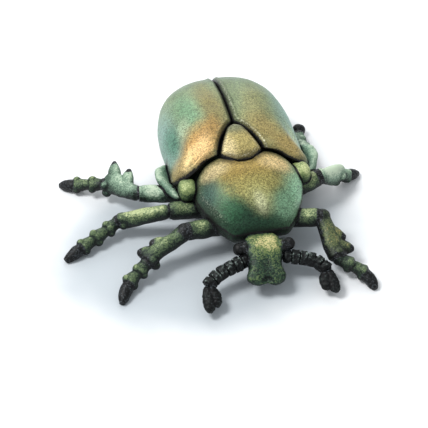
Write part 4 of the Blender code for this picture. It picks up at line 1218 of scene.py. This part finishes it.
# Painted shadow: grey in the pool, white outside it
card_and_painted_shadow = mixed(floor_paint, graded(floor_paint, reach, 0.75, 1.15), linear("#c4cbd0"), linear("#f8f9fa"))
shader = put(floor_paint, "ShaderNodeBsdfPrincipled", {"Base Color": card_and_painted_shadow, "Roughness": 0.9})
put(floor_paint, "ShaderNodeOutputMaterial", {0: shader.outputs[0]})
floor_mesh = bpy.data.meshes.new("floor")
reach = FLOOR_REACH_METRES
corners = [(-reach, -reach, 0), (reach, -reach, 0), (reach, reach, 0), (-reach, reach, 0)]
floor_mesh.from_pydata(corners, [], [(0, 1, 2, 3)])
floor_mesh.materials.append(floor_paint)
floor = bpy.data.objects.new("floor", floor_mesh)
bpy.context.scene.collection.objects.link(floor)
floor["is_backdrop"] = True

# Lights
# A small softbox overhead on the figure's right, a larger one behind it, and white surroundings. Places
# and sizes are in metres, powers in watts.
world = bpy.data.worlds.new("white_surroundings")
world.use_nodes = True
world.node_tree.nodes["Background"].inputs["Color"].default_value = (0.93, 0.97, 1.0, 1)
world.node_tree.nodes["Background"].inputs["Strength"].default_value = 0.62
bpy.context.scene.world = world
LIGHT_AIM = Vector((0, 0, 0.01))


def softbox(name, place, size, power):
    data = bpy.data.lights.new(name, "AREA")
    data.size = size
    data.energy = power
    lamp = bpy.data.objects.new(name, data)
    lamp.location = place
    lamp.rotation_mode = "QUATERNION"
    lamp.rotation_quaternion = (LIGHT_AIM - Vector(place)).to_track_quat("-Z", "Y")
    bpy.context.scene.collection.objects.link(lamp)


softbox("overhead_softbox", place=(-0.20, 0.02, 0.36), size=0.13, power=1.15)
softbox("back_softbox", place=(0.05, 0.50, 0.30), size=0.40, power=1.2)

# Camera
# Above and in front of the head, a little to its right side, with a long lens. Distances and shifts are
# in millimetres, and the lens's length is in pixels of the photo's frame.
VIEW_DISTANCE = 330.0
VIEW_SIDE, VIEW_RISE = 7.5182, 0.5504
VIEW_LENGTH = 1278.226
FRAME_PIXELS = 428
VIEW_TURN, VIEW_TILT = radians(13), radians(44)
right = Vector((cos(VIEW_TURN), -sin(VIEW_TURN), 0))
back = Vector((-sin(VIEW_TURN) * cos(VIEW_TILT), -cos(VIEW_TURN) * cos(VIEW_TILT), sin(VIEW_TILT)))
upward = back.cross(right)
lens = bpy.data.cameras.new("camera")
lens.sensor_width = 36
lens.lens = lens.sensor_width * VIEW_LENGTH / FRAME_PIXELS
lens.clip_start, lens.clip_end = 0.01, 10
camera = bpy.data.objects.new("camera", lens)
place = back * VIEW_DISTANCE - right * VIEW_SIDE - upward * VIEW_RISE
camera.location = (place + FIGURE_PLACE) * METRES_PER_MM
camera.rotation_mode = "QUATERNION"
camera.rotation_quaternion = back.to_track_quat("Z", "Y")
bpy.context.scene.collection.objects.link(camera)
bpy.context.scene.camera = camera
bpy.context.scene.view_settings.view_transform = "Standard"

boxes = {"cad": [list(corner) for corner in cad_box], "visual": [list(corner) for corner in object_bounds()]}
